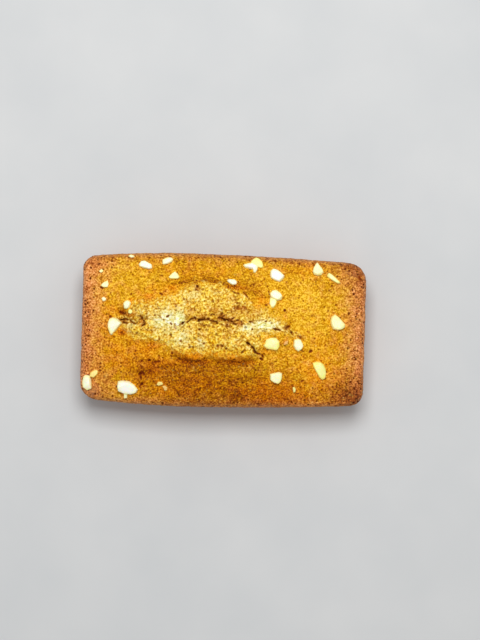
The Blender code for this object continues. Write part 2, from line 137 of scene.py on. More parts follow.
HOLES = (  # x, y, radius, depth
    (-30.6, 4.9, 1.9, 1.2), (-24.3, 2.9, 1.4, 0.8), (-7.9, 12.5, 1.3, 0.5), (4.9, 7.0, 1.7, 0.6),
    (26.4, 4.4, 1.1, 0.6), (-24.2, -13.2, 1.0, 0.2), (-24.6, -16.6, 0.8, 0.2), (19.2, 2.4, 1.3, 0.6),
)
BOWL_POWER = 1.5  # rounds the holes' edges
print("the crack is", max(row[2] for row in CRACK), "mm deep at most, and there are", len(HOLES), "holes")

# %% [markdown]
# ## The narrow breaks
# The crack isn't one clean slit. The crumb tore in short, dark, crooked breaks, and small ones opened in the
# crust and round broken bubbles. Noise alone would put them anywhere, and an eye that knows the cake looks
# for the large ones first. So each is given one by one as a short line or a dot, and noise only frays its
# edges.

# %% Where they run
CREVICES = (  # half width, depth, painted shade's darkness, then points (x, y); left to right in each group
    # along the crack
    (0.30, 0.6, 0.94, (-30.7, 2.5), (-29.7, 2.7), (-28.6, 2.6)),
    (0.33, 0.6, 0.94, (-30.0, 4.5), (-29.4, 4.3)), (0.37, 0.6, 0.94, (-29.8, 1.8), (-28.8, 1.5)),
    (0.23, 0.6, 0.79, (-27.6, 2.3), (-26.9, 1.6), (-26.1, 1.4), (-25.7, 1.8)),
    (0.33, 0.6, 0.89, (-24.7, 3.8), (-24.1, 3.2), (-23.6, 2.4), (-23.5, 1.4), (-24.0, 0.9)),
    (0.23, 0.4, 0.59, (-23.0, 5.5), (-22.8, 4.5), (-22.6, 3.0)), (0.32, 0.5, 0.89, (-20.3, 4.1)),
    (0.18, 0.3, 0.64, (-19.6, 4.4), (-18.8, 3.7), (-17.7, 2.9)),
    (0.23, 0.3, 0.79, (-15.7, 2.0), (-15.2, 1.6)),
    (0.23, 0.3, 0.59, (-14.3, 1.8), (-14.4, 0.9), (-14.0, 0.3)),
    (0.24, 0.6, 0.74, (-12.8, 1.4), (-12.2, 1.9), (-11.5, 2.7)),
    (0.26, 0.6, 0.94, (-10.8, 2.3), (-10.2, 2.6), (-9.5, 3.4), (-8.9, 3.4)), (0.31, 0.4, 0.69, (-10.0, 1.2)),
    (0.33, 0.7, 0.94, (-8.5, 3.8), (-8.3, 3.4)),
    (0.37, 0.8, 0.94, (-7.4, 3.0), (-6.2, 3.3), (-5.2, 3.3), (-4.2, 3.6)),
    (0.23, 0.4, 0.59, (-7.4, 2.1), (-6.2, 1.6), (-4.8, 1.6)),
    (0.25, 0.4, 0.89, (-3.9, 4.6), (-3.3, 4.9), (-2.7, 4.8)),
    (0.33, 0.7, 0.94, (-3.8, 3.1), (-3.0, 2.8), (-2.2, 2.8), (-1.7, 2.3)),
    (0.33, 0.6, 0.89, (-1.5, 4.0), (-0.5, 4.1), (0.1, 4.5)),
    (0.23, 0.3, 0.59, (-1.2, 2.2), (-0.2, 1.8), (0.8, 1.7)), (0.27, 0.4, 0.79, (-0.6, 4.9), (-0.3, 5.4)),
    (0.36, 0.6, 0.94, (-0.5, 3.9), (0.3, 3.4)), (0.31, 0.6, 0.94, (0.6, 3.4), (1.3, 3.2)),
    (0.27, 0.5, 0.89, (1.0, 2.1), (1.3, 1.9)), (0.23, 0.3, 0.69, (1.1, 1.5), (2.3, 1.2)),
    (0.23, 0.6, 0.94, (1.6, 3.7), (2.6, 2.9)), (0.27, 0.4, 0.89, (2.4, 3.6), (3.1, 4.1)),
    (0.32, 0.7, 0.94, (3.1, 2.4), (3.7, 2.2)), (0.30, 0.5, 0.79, (3.9, 3.2), (4.6, 3.4)),
    (0.33, 0.5, 0.79, (5.4, 3.0), (5.5, 2.1)), (0.26, 0.6, 0.94, (7.8, 3.0), (8.8, 2.9)),
    (0.34, 0.6, 0.94, (8.7, 0.8)), (0.18, 0.3, 0.54, (9.7, 3.1), (10.3, 3.3), (12.3, 3.9)),
    (0.23, 0.5, 0.89, (12.4, 3.2), (12.8, 3.3)), (0.21, 0.4, 0.69, (13.6, 3.3), (13.8, 3.3)),
    (0.23, 0.6, 0.89, (14.3, 2.8), (14.5, 2.8)), (0.28, 0.6, 0.94, (15.0, 1.2), (15.2, 1.0)),
    (0.23, 0.6, 0.89, (15.6, 1.0), (16.2, 1.0), (16.9, 0.7)), (0.44, 0.5, 0.69, (18.6, 1.3), (19.6, 2.0)),
    (0.33, 0.6, 0.94, (20.1, 0.3), (20.4, 0.1)), (0.26, 0.4, 0.59, (21.6, 0.1), (21.9, -0.1)),
    # in and beside the tear
    (0.31, 0.5, 0.79, (6.1, -5.8), (5.8, -6.3)), (0.38, 0.9, 0.94, (7.3, -3.3), (7.7, -3.6)),
    (0.18, 0.5, 0.79, (7.8, -3.7), (8.7, -4.2)), (0.23, 0.4, 0.69, (8.0, -2.0)),
    (0.32, 0.9, 0.94, (8.8, -4.3), (9.3, -5.0), (9.7, -5.8)),
    (0.22, 0.6, 0.89, (9.7, -5.8), (10.2, -6.3), (11.2, -6.6)),
    # round broken bubbles of the crumb
    (0.23, 0.3, 0.69, (-19.7, -2.2)), (0.31, 0.4, 0.69, (-19.2, 6.2)), (0.27, 0.4, 0.79, (-18.8, -3.0)),
    (0.27, 0.4, 0.59, (-18.2, 9.0)), (0.25, 0.4, 0.79, (-16.9, 3.8), (-16.2, 4.1)),
    (0.27, 0.4, 0.59, (-15.5, 9.0)), (0.22, 0.3, 0.69, (-15.4, 4.1)), (0.50, 0.4, 0.49, (-14.2, 7.3)),
    (0.38, 0.6, 0.89, (-12.4, -3.3)), (0.36, 0.6, 0.89, (-11.9, 9.2)), (0.31, 0.4, 0.59, (-9.8, -5.3)),
    (0.41, 0.5, 0.69, (-9.6, 6.1)), (0.38, 0.5, 0.79, (-9.6, -5.0)), (0.31, 0.5, 0.94, (-8.4, 12.1)),
    (0.31, 0.5, 0.94, (-8.2, 13.3), (-7.9, 12.8)), (0.27, 0.5, 0.94, (-7.8, 11.8)),
    (0.25, 0.4, 0.89, (-7.3, 12.5)), (0.23, 0.4, 0.69, (-7.1, -1.6)), (0.32, 0.5, 0.79, (-6.9, 0.3)),
    (0.38, 0.6, 0.89, (-5.5, -3.8)), (0.36, 0.6, 0.89, (-3.3, 8.8)), (0.27, 0.4, 0.59, (-1.7, 11.8)),
    (0.38, 0.5, 0.79, (-1.4, -4.3)), (0.25, 0.3, 0.59, (-0.7, 6.6), (-0.4, 5.9)),
    (0.41, 0.6, 0.94, (-0.1, -4.4)), (0.38, 0.5, 0.79, (1.1, -5.1)),
    (0.25, 0.4, 0.69, (2.4, 11.9), (3.3, 11.4), (4.4, 11.3)), (0.32, 0.6, 0.94, (3.9, 8.4)),
    (0.45, 0.6, 0.79, (4.1, 6.9)), (0.38, 0.5, 0.69, (6.2, 7.0)), (0.31, 0.4, 0.59, (6.2, 8.4)),
    (0.27, 0.3, 0.59, (11.8, 0.4)),
    # in the crust
    (0.32, 0.4, 0.69, (-41.0, 11.3)), (0.29, 0.4, 0.79, (-39.0, -16.0)),
    (0.29, 0.4, 0.79, (-37.0, 12.0), (-36.5, 11.7)), (0.29, 0.4, 0.69, (-35.2, 2.1)),
    (0.38, 0.5, 0.89, (-33.9, 3.3)), (0.40, 0.6, 0.84, (-30.9, 4.9), (-30.3, 4.5)),
    (0.38, 0.5, 0.69, (-27.7, 10.2)), (0.38, 0.5, 0.89, (-25.9, -6.7)),
    (0.42, 0.7, 1.0, (-24.5, -13.6), (-24.2, -13.3)), (0.28, 0.4, 0.79, (-24.3, -11.0), (-23.6, -11.7)),
    (0.32, 0.6, 0.94, (-24.3, -13.6), (-24.1, -15.0)), (0.30, 0.5, 0.94, (-24.1, -9.6), (-23.8, -9.4)),
    (0.36, 0.6, 1.0, (-23.8, -12.7), (-23.2, -13.5)), (0.30, 0.5, 0.94, (-23.7, -16.2), (-24.4, -17.3)),
    (0.30, 0.6, 0.89, (-22.0, -9.5), (-21.6, -9.3)), (0.28, 0.4, 0.79, (-21.1, -12.3), (-21.9, -13.3)),
    (0.31, 0.5, 0.79, (-20.0, -9.8), (-18.7, -9.6)), (0.29, 0.4, 0.69, (-19.1, 10.7), (-18.4, 10.4)),
    (0.34, 0.5, 0.89, (-15.0, -7.0)), (0.27, 0.4, 0.59, (-12.0, -21.9)),
    (0.27, 0.4, 0.69, (5.6, 11.8), (6.5, 10.9), (7.1, 10.2)), (0.32, 0.5, 0.89, (11.4, -7.9), (11.9, -8.0)),
    (0.27, 0.4, 0.79, (11.8, -9.3)), (0.31, 0.4, 0.79, (11.9, -6.8), (12.1, -7.3)),
    (0.41, 0.5, 0.79, (12.6, 8.1)), (0.27, 0.4, 0.69, (12.9, 13.7)),
    (0.27, 0.4, 0.89, (13.2, 12.2), (13.4, 11.3)), (0.29, 0.4, 0.69, (16.0, -8.6)),
    (0.43, 0.5, 0.89, (18.2, 6.7)), (0.27, 0.4, 0.69, (18.5, 15.2)), (0.27, 0.4, 0.69, (19.6, -11.9)),
    (0.27, 0.4, 0.69, (20.0, 13.2)), (0.33, 0.4, 0.69, (22.7, -1.0), (23.2, -1.4)),
    (0.32, 0.4, 0.69, (23.8, -14.3), (24.5, -14.0)), (0.41, 0.5, 0.79, (26.0, -5.3), (26.5, -5.1)),
    (0.38, 0.4, 0.59, (26.3, 5.3)), (0.27, 0.4, 0.59, (27.1, -19.5)), (0.34, 0.5, 0.89, (32.1, 14.5)),
    (0.32, 0.5, 0.79, (33.5, 8.7)), (0.29, 0.4, 0.69, (36.1, 8.4)), (0.32, 0.4, 0.69, (38.2, 18.6)),
    (0.36, 0.4, 0.69, (40.2, 17.5), (40.7, 16.4)), (0.38, 0.4, 0.69, (40.7, 4.6)),
)
CREVICE_EDGE = 1.6  # in half widths, where nothing of it is left
CREVICE_POWER = 1.5  # how it deepens towards its middle
CREVICE_RAGGED, CREVICE_RAGGED_SIZE = 0.22, 0.8
CREVICE_BOXES = []  # the room that each takes up, so that points elsewhere needn't be measured against it
for half, _, _, *points in CREVICES:
    xs, ys, room = [p[0] for p in points], [p[1] for p in points], half * CREVICE_EDGE + CREVICE_RAGGED
    CREVICE_BOXES.append((min(xs) - room, min(ys) - room, max(xs) + room, max(ys) + room))
print(len(CREVICES), "narrow breaks,", round(2 * max(row[0] for row in CREVICES), 1), "mm wide at most")

# %% [markdown]
# ## Small helpers for shaping
# Bread and cake have no hard steps. Everything on them fades into the rest, so a few soft curves do most of
# the work: a smooth ramp, a bell, a broken line to look values up on, and noise that wanders up and down.
# Blender's own noise is smooth and repeats from run to run. It is read in layers, one for each use, so that
# no two show the same pattern.

# %% Curves, lines and noise
EDGE_LAYER, LUMP_LAYER, CRACK_LAYER, SWELL_LAYER = 1, 3, 5, 6  # two sizes of noise take two layers
TIN_LAYER, TORN_LAYER, CREVICE_LAYER = 8, 12, 17


def ramp(value, low, high):
    """0 below low, 1 above high, with a smooth rise between."""
    share = min(max((value - low) / (high - low), 0.0), 1.0)
    return share * share * (3 - 2 * share)


def stretch(x, rise, fall):
    """1 along a stretch of the cake, with a smooth rise from 0 before it and a smooth fall after it."""
    return ramp(x, *rise) * ramp(-x, -fall[1], -fall[0])


def bump(distance, half):
    """1 at no distance, falling away to 0 like a bell this wide."""
    return math.exp(-((distance / half) ** 2))


def between(points, at):
    """The values at a place on a broken line, whose points are rows of (place, value, ...)."""
    at = min(max(at, points[0][0]), points[-1][0])
    for (low, *start), (high, *end) in zip(points, points[1:]):
        if at <= high:
            share = (at - low) / (high - low)
            return [a + (b - a) * share for a, b in zip(start, end)]


def line_distance(x, y, points):
    """How far a point is from a broken line."""
    best = math.hypot(x - points[0][0], y - points[0][1])
    for (ax, ay), (bx, by) in zip(points, points[1:]):
        long_x, long_y = bx - ax, by - ay
        along = ((x - ax) * long_x + (y - ay) * long_y) / (long_x**2 + long_y**2)
        along = min(max(along, 0), 1)
        best = min(best, math.hypot(x - ax - along * long_x, y - ay - along * long_y))
    return best


def wander(x, y, size, layer):
    """Smooth noise from about -1 to 1 whose bumps are this many millimetres across."""
    return noise.noise(Vector((x / size, y / size, layer)))


def wanders(x, y, sizes, layer):
    """A sum of such noises, from (size, share) pairs."""
    return sum(share * wander(x, y, size, layer + k) for k, (size, share) in enumerate(sizes))


print("a ramp is", ramp(0.5, 0, 1), "halfway up, and a bell", round(bump(1, 1), 2), "at its half width")

# %% [markdown]
# ## The tin's plan
# A plain grid is a square, and a tin has round corners. Cutting corners off a grid leaves ragged cells, so
# each corner square of the grid is instead laid on a quarter circle, with the square-to-disc formula. The
# rows stay rows, which keeps the fine mesh even right up to the rim.


# %% From the square to the tin
def half_width(x):
    """Half the cake's width at x, in the plane of the rim."""
    reach = LENGTH / 2 - WIDEST_AT if x > WIDEST_AT else LENGTH / 2 + WIDEST_AT
    return WIDTH / 2 - BOW * ((x - WIDEST_AT) / reach) ** 2


def plan_point(u, v, inset):
    """The square from -1 to 1 laid on the tin's plan, drawn in by inset."""
    side_x, side_y = (1 if u > 0 else -1), (1 if v > 0 else -1)
    long_half, wide_half = LENGTH / 2 - inset, WIDTH / 2 - inset
    radius = max(CORNERS[side_x, side_y] - inset, CORNERS[side_x, side_y] / 2)
    x, y = u * long_half, v * wide_half
    over_x, over_y = 1 + (abs(x) - long_half) / radius, 1 + (abs(y) - wide_half) / radius
    if over_x > 0 and over_y > 0:
        x = side_x * (long_half - radius + radius * over_x * math.sqrt(1 - over_y**2 / 2))
        y = side_y * (wide_half - radius + radius * over_y * math.sqrt(1 - over_x**2 / 2))
    return x, y * half_width(x) / (WIDTH / 2)


print("the far left corner of the square lands at", [round(c, 1) for c in plan_point(-1, 1, 0)])

# %% [markdown]
# ## The dome and the burst
# The dome is flat in the middle and falls to nothing at the rim. On it stands the burst: crumb that swelled
# out of the split, with a soft furrow along its far edge and a sharp ledge along the near one, where a flap
# of crust was pushed up. The crack through it is narrow and jagged, and a short tear crosses the ledge. Each
# is a function of a place on the plan, and the height of the top is their sum, so any of them can be changed
# alone.


# %% What stands up and what is sunk in
def burst(x, y):
    """A point's place in the burst, 0 on its middle line and 1 on its edge; how far that edge is; and which
    one it is, 1 above the middle and -1 below."""
    middle, = between(BURST_MIDDLE, x)
    side = 1 if y > middle else -1
    edge, = between(BURST_ABOVE if side > 0 else BURST_BELOW, x)
    reach = abs(edge - middle)
    ragged = 1 + RAGGED * wanders(x, y, RAGGED_SIZES, EDGE_LAYER)
    return abs(y - middle) / max(reach, LEAST_REACH) * ragged, reach, side


def mound(x, y):
    """Height of the burst above the dome: the swollen crumb and its step down to the crust."""
    share, reach, side = burst(x, y)
    step = STEP_ABOVE if side > 0 else between(STEP_BELOW, x)[0]
    soft = STEP_SOFT_ABOVE if side > 0 else between(STEP_SOFT_BELOW, x)[0]
    size = ramp(reach, 0, FULL_REACH)
    crumb = 1 - ramp(share, 1 - soft, 1 + soft / 2)
    swollen = size * (step + RISE * max(1 - share**2, 0))
    furrow = GROOVE * size * bump(share - GROOVE_AT, GROOVE_HALF)
    if side < 0:
        furrow *= between(GROOVE_BELOW, x)[0]
    return crumb * (swollen + LUMP * wanders(x, y, LUMP_SIZES, LUMP_LAYER)) - furrow


def crack(x, y):
    """How deep the crack is at a point, with the valley the lips form beside it."""
    middle, depth = between(CRACK, x)
    away = abs(y - middle - CRACK_JAG * wander(x, 0, CRACK_JAG_SIZE, CRACK_LAYER))
    slit = max(1 - away / CRACK_HALF, 0) ** CRACK_POWER
    return depth * slit + VALLEY * min(depth, 1) * bump(away, VALLEY_HALF)


def tear(x, y):
    """Height that the tear adds: its flap on one side, less its depth."""
    (ax, ay), (bx, by) = TEAR
    length = math.hypot(bx - ax, by - ay)
    along = ((x - ax) * (bx - ax) + (y - ay) * (by - ay)) / length
    aside = ((x - ax) * (ay - by) + (y - ay) * (bx - ax)) / length
    ends = ramp(along, -TEAR_END, TEAR_END) * ramp(length - along, -TEAR_END, TEAR_END)
    slit = TEAR_SHARE * TEAR_DEPTH * max(1 - abs(aside) / TEAR_HALF, 0) ** CRACK_POWER
    return ends * (FLAP * bump(aside - FLAP_AT, FLAP_HALF) - slit)


def holes(x, y):
    """How deep the larger holes are at a point."""
    total = 0.0
    for hole_x, hole_y, radius, depth in HOLES:
        away = math.hypot(x - hole_x, y - hole_y) / radius
        total += depth * max(1 - away**2, 0) ** BOWL_POWER
    return total


def crevices(x, y):
    """(depth, darkness of painted shade) of the narrow breaks at a point."""
    depth = dark = 0.0
    for (half, deep, black, *points), (low_x, low_y, high_x, high_y) in zip(CREVICES, CREVICE_BOXES):
        if low_x < x < high_x and low_y < y < high_y:
            frayed_by = CREVICE_RAGGED * wander(x, y, CREVICE_RAGGED_SIZE, CREVICE_LAYER)
            away = line_distance(x, y, points) + frayed_by
            share = min(max(1 - away / (half * CREVICE_EDGE), 0), 1)
            depth, dark = max(depth, deep * share**CREVICE_POWER), max(dark, black * share)
    return depth, dark


print("at its middle the burst stands", round(mound(0, between(BURST_MIDDLE, 0)[0]), 1), "mm above the dome")


# %% Heights of the top
def crust(x, y):
    """Height of the top above the rim's own curve."""
    along, across = abs(2 * x / LENGTH), abs(y) / half_width(x)
    dome = DOME * max(1 - along ** DOME_POWERS[0], 0) * max(1 - across ** DOME_POWERS[1], 0)
    inland = ramp(1 - max(along, across), 0, INLAND)
    swell = SWELL * wanders(x, y, SWELL_SIZES, SWELL_LAYER)
    sunk = crack(x, y) + holes(x, y) + crevices(x, y)[0]
    return dome + inland * (swell + mound(x, y) + tear(x, y) - sunk)


def rim_height(x, y):
    """Height of the top at a point, with the rim's turn and everything on it, but not the almonds."""
    inside = min(LENGTH / 2 - abs(x), half_width(x) - abs(y), RIM_RADIUS)
    turn = math.sqrt(max(RIM_RADIUS**2 - (RIM_RADIUS - max(inside, 0)) ** 2, 0))
    return (WALL_TOP + turn) * (1 + UNEVEN * wander(x, y, UNEVEN_SIZE, TIN_LAYER)) + crust(x, y)


crumb_high, rim_high = (round(rim_height(0, y), 1) for y in (6, 22))
print("the middle of the crumb is", crumb_high, "mm high, and the far rim", rim_high)

# %% [markdown]
# ## What the oven did, as numbers on the surface
# The colours follow the form: the crumb hardly browned, the crust browned most near the tin, and the breaks
# are dark because light doesn't reach into them. Painting an image would be one way. Here each vertex gets a
# few plain numbers instead, worked out from the same lines as the form, and the material turns them into
# colour. They are soft, and the material frays their edges with fine noise, so the borders are finer than the
# mesh.
#
# The first number says where the crust is open and the crumb shows. Its outline isn't the burst's own: at the
# near ledge the crust runs up on to the swollen crumb, and in places the crumb spills over it.

# %% Where the crumb is open
CRUMB_ABOVE = (
    (-32.5, 3.0), (-31.0, 3.9), (-29.0, 5.0), (-26.5, 7.7), (-24.6, 8.2), (-22.0, 7.9), (-20.5, 8.4),
    (-18.8, 9.4), (-14.5, 10.2), (-13.0, 11.7), (-10.0, 13.1), (-5.0, 14.0), (-1.0, 13.4), (1.5, 12.4),
    (4.0, 11.5), (5.8, 10.9), (7.2, 9.5), (9.0, 8.0), (12.6, 6.5), (14.2, 5.0), (16.8, 4.0), (19.4, 1.9),
    (24.0, -1.2),
)
CRUMB_BELOW = (
    (-32.5, 3.0), (-31.0, 1.0), (-29.5, -0.4), (-28.0, -1.8), (-26.0, -3.3), (-23.5, -3.8), (-21.5, -2.5),
    (-18.5, -3.9), (-16.0, -4.7), (-14.5, -5.6), (-13.0, -6.4), (-9.0, -6.8), (-5.0, -6.4), (-3.5, -6.2),
    (-2.0, -6.8), (1.0, -7.1), (4.0, -7.0), (8.0, -6.8), (10.0, -6.2), (11.0, -5.0), (11.5, -3.8),
    (12.3, -1.5), (14.0, -0.2), (17.0, 0.3), (21.5, 0.0), (24.0, -1.2),
)
CRUMB_SOFT = 1.6  # mm over which crumb turns to crust
CRUMB_RAGGED = 0.7  # mm by which that border wanders


def outside(x, y, above, below):
    """(how far a point lies outside a pair of edges, in mm and below 0 within them, and on which side)."""
    middle, = between(BURST_MIDDLE, x)
    side = 1 if y > middle else -1
    edge, = between(above if side > 0 else below, x)
    beyond = max(above[0][0] - x, x - above[-1][0], 0)
    return math.hypot(beyond, y - middle) - abs(edge - middle), side


def open_crumb(x, y):
    """1 on open crumb, 0 on crust, one half on the border."""
    out, _ = outside(x, y, CRUMB_ABOVE, CRUMB_BELOW)
    return 1 - ramp(out + CRUMB_RAGGED * wanders(x, y, RAGGED_SIZES, TORN_LAYER), -CRUMB_SOFT, CRUMB_SOFT)


print("the crumb is open from", CRUMB_ABOVE[0][0], "to", CRUMB_ABOVE[-1][0], "mm along the cake")

# %% [markdown]
# ## Patches of other colours
# No baked thing has one colour. Sheltered crumb stayed almost white, and crumb beside the crack toasted.
# Browned butter soaked into some of the crust, which turned it from golden to orange, and into the crumb
# along it. A pale, greyish sheen is painted along the edge of the rim, and spreads further at three corners.
# Noise could scatter such patches, and then the cake would be any cake. Here each one is a soft oval at its
# own place. Where ovals overlap, the strongest counts, so that they don't add up.

# %% Pale, toasted and buttery patches, and patches of painted sheen
PALE = (  # x, y, half length, half width, strength: crumb that stayed whitest
    (-27.6, 1.0, 1.4, 1.0, 0.6), (-25.0, 5.2, 2.0, 1.8, 0.25), (-22.5, 6.0, 2.0, 1.4, 0.2),
    (-18.6, 2.4, 2.8, 2.6, 0.8), (-16.5, 3.2, 3.4, 3.4, 0.9), (-13.5, 3.0, 1.0, 3.3, 1.2),
    (-12.2, 3.2, 1.0, 2.8, 0.95), (-12.2, -2.2, 2.4, 2.8, 0.6), (-11.8, 7.6, 0.9, 1.6, 0.4),
    (-9.0, 10.6, 2.4, 1.6, 0.5), (-6.5, -4.0, 1.8, 1.8, 0.5), (-2.0, 11.3, 2.2, 1.1, 0.3),
    (7.2, 1.2, 2.2, 1.2, 0.9), (8.5, -0.2, 2.5, 0.8, 0.5), (12.2, 2.1, 4.2, 1.5, 1.1),
)
TOASTED = (  # the same, for crumb that browned beside the crack and round the broken bubbles
    (-30.1, 4.8, 1.4, 0.9, 1.3), (-29.8, -0.9, 1.8, 1.4, 1.0), (-29.6, 2.2, 2.0, 1.1, 0.7),
    (-28.0, 4.3, 2.2, 1.1, 1.0), (-27.9, 6.0, 1.4, 1.6, 0.5), (-24.2, 2.6, 0.8, 1.6, 0.8),
    (-21.5, -0.3, 1.6, 0.5, 0.4), (-14.2, 7.3, 1.1, 0.9, 0.35), (-9.8, 4.4, 1.3, 0.8, 0.55),
    (-9.4, 6.0, 1.7, 0.8, 0.75), (-7.9, 12.5, 0.9, 1.1, 0.8), (-6.0, 4.2, 3.4, 0.7, 0.5),
    (-5.4, -0.8, 2.6, 1.2, 0.25), (-2.4, 6.2, 1.4, 1.0, 0.8), (-1.7, 11.8, 0.8, 0.5, 0.5),
    (-0.8, -4.4, 1.2, 0.6, 0.7), (-0.3, 4.0, 1.8, 1.0, 0.95), (1.2, 1.6, 1.6, 0.8, 0.6),
    (2.0, 9.4, 1.6, 1.2, 0.3), (2.2, 3.4, 2.0, 1.2, 0.9), (3.4, 4.9, 2.2, 1.4, 0.6),
    (4.2, 6.9, 1.1, 0.7, 1.4), (4.6, 2.4, 1.4, 1.2, 0.9), (5.9, 5.6, 1.4, 1.1, 0.4),
    (6.1, 7.2, 1.1, 0.8, 1.0), (9.8, 6.0, 2.4, 1.3, 0.6), (19.1, 1.8, 1.2, 0.9, 0.95),
    (22.9, -1.2, 0.9, 0.8, 0.7),
)
AMBER = (  # the same, for what browned in butter: orange, where plain crust is golden, and golden crumb
    # broad, on the crust
    (-35.5, -1.0, 4.0, 13.0, 0.6), (-31.0, -8.0, 10.0, 6.0, 0.75), (-24.0, -6.5, 6.0, 3.5, 0.9),
    (-20.0, -12.0, 9.0, 5.0, 0.8), (-18.5, 11.5, 7.0, 2.2, 0.4), (-11.0, -17.0, 18.0, 6.0, 0.8),
    (-10.0, 18.0, 14.0, 3.0, 0.3), (-6.0, -12.0, 14.0, 3.0, 0.5), (16.0, -18.5, 16.0, 5.0, 1.2),
    (23.0, 19.0, 5.0, 3.0, 0.5), (26.0, -10.0, 9.0, 7.0, 0.6), (30.0, -14.0, 9.0, 7.0, 0.8),
    (31.0, -3.0, 7.0, 6.0, 0.45),
    # small, on the crust
    (-38.6, 18.0, 1.2, 1.1, 0.8), (-33.5, 5.5, 2.5, 2.5, 0.7), (-30.2, -1.0, 1.4, 1.3, 1.3),
    (-30.1, 4.8, 1.4, 1.0, 1.0), (-27.5, 8.0, 0.9, 1.3, 1.0), (-22.3, 9.8, 1.9, 1.1, 1.0),
    # those at (-8.8, -9.0) and (3.0, -9.0) lie on the painted shadow under the ledge and turn it orange-brown
    (-21.3, -5.2, 3.4, 1.6, 1.1), (-15.8, 12.6, 2.3, 1.1, 1.0), (-8.8, -9.0, 6.5, 1.2, 1.2),
    (-8.5, -7.7, 5.0, 0.8, 1.0), (3.0, -8.0, 5.5, 0.8, 1.0), (3.0, -9.0, 7.0, 1.1, 1.2),
    (3.5, 13.0, 3.4, 0.8, 0.9), (11.3, 9.5, 2.0, 1.3, 1.0), (12.6, -6.0, 2.6, 1.0, 0.8),
    (31.3, -8.8, 1.0, 0.6, 0.9), (37.6, 3.6, 1.6, 1.0, 0.6),
    # on the crumb
    (-27.6, 4.2, 2.2, 1.0, 1.0), (-23.5, 7.0, 6.5, 2.2, 0.65), (-21.0, -0.7, 3.2, 1.7, 0.65),
    (-14.2, 7.4, 2.2, 1.7, 1.0), (-9.6, 10.6, 1.2, 1.6, 0.6), (-9.0, -6.3, 5.5, 1.9, 1.0),
    (-3.4, -3.6, 1.4, 3.2, 1.3), (0.0, 11.0, 2.2, 1.6, 0.7), (2.0, -6.6, 6.5, 1.6, 0.9),
    (7.0, -6.1, 1.6, 1.0, 0.9), (9.8, 7.5, 1.5, 1.2, 0.8), (10.2, -2.2, 1.8, 1.2, 0.8),
    (11.0, -1.0, 2.4, 1.6, 0.6),
)
RIM_SHEEN_PATCHES = (  # the same, for painted sheen at three corners
    (-39.8, -19.2, 3.6, 3.2, 0.9), (38.6, 18.6, 3.4, 2.2, 0.5), (39.8, -17.6, 2.6, 2.4, 0.3),
)


def patches(x, y, ovals):
    """The strongest of some soft ovals at a point."""
    return max(s * bump(math.hypot((x - px) / rx, (y - py) / ry), 1) for px, py, rx, ry, s in ovals)


print(len(PALE) + len(TOASTED) + len(AMBER) + len(RIM_SHEEN_PATCHES), "patches")

# %% [markdown]
# ## How brown the crust is
# Browning is one number, from 0 for gold to 1 for dark brown. An oven browns what sticks up, what is thin and
# what touches metal, so most of it follows from how far a point lies from the ends, the sides and the
# corners. Painted shade goes into the same number: a dark line in the crease of the furrow, and a painted
# shadow under the ledge with softer painted shade in front of it. What is left are stains, which do add up:
# some darker, some paler than the crust round them.

# %% Lines of painted shade, and stains, in the crust
LIP_SHADOW_LINE, LIP_SHADOW_HALF, LIP_SHADOW = 0.05, 0.9, 0.27  # painted shadow under the ledge, as browning: its place, half width and strength
LIP_SHADE_AT, LIP_SHADE_HALF, LIP_SHADE = 1.5, 1.0, 0.12  # softer painted shade in front of it, as browning
LIP_RISE, LIP_FALL = (-16, -12), (8, 12)  # x over which both come in, and go
LOBES_MEET, LOBES_MEET_HALF = -3.6, 0.8  # x of the notch in the ledge, where there is no painted shadow line
FURROW_SHADE_FROM = 8.0  # y below which there is no painted shade in the furrow
FURROW_SHADE_LINES = (  # painted shade in the furrow's crease: half width, browning, then points
    (0.5, 0.30, (-13.2, 14.0), (-11.5, 14.2), (-10.2, 14.7), (-8.5, 14.8)),
    (0.6, 0.30, (-6.0, 14.9), (-4.0, 14.7), (-2.5, 14.7), (-1.2, 14.4), (0.0, 14.0), (1.5, 13.6),
     (3.0, 13.4)),
    (0.7, 0.11, (3.0, 13.4), (4.5, 13.2), (6.5, 12.6), (8.0, 12.5), (9.0, 12.0), (10.0, 11.2), (11.5, 10.7)),
    (0.4, 0.16, (-6.5, 15.9), (-4.5, 15.8), (-3.0, 15.6)),
    (0.8, 0.10, (-21.0, 12.0), (-17.0, 13.6), (-13.2, 14.0)),
    (1.6, 0.09, (-12.0, 15.6), (-2.0, 16.2), (5.0, 14.6), (9.5, 12.6)),
)
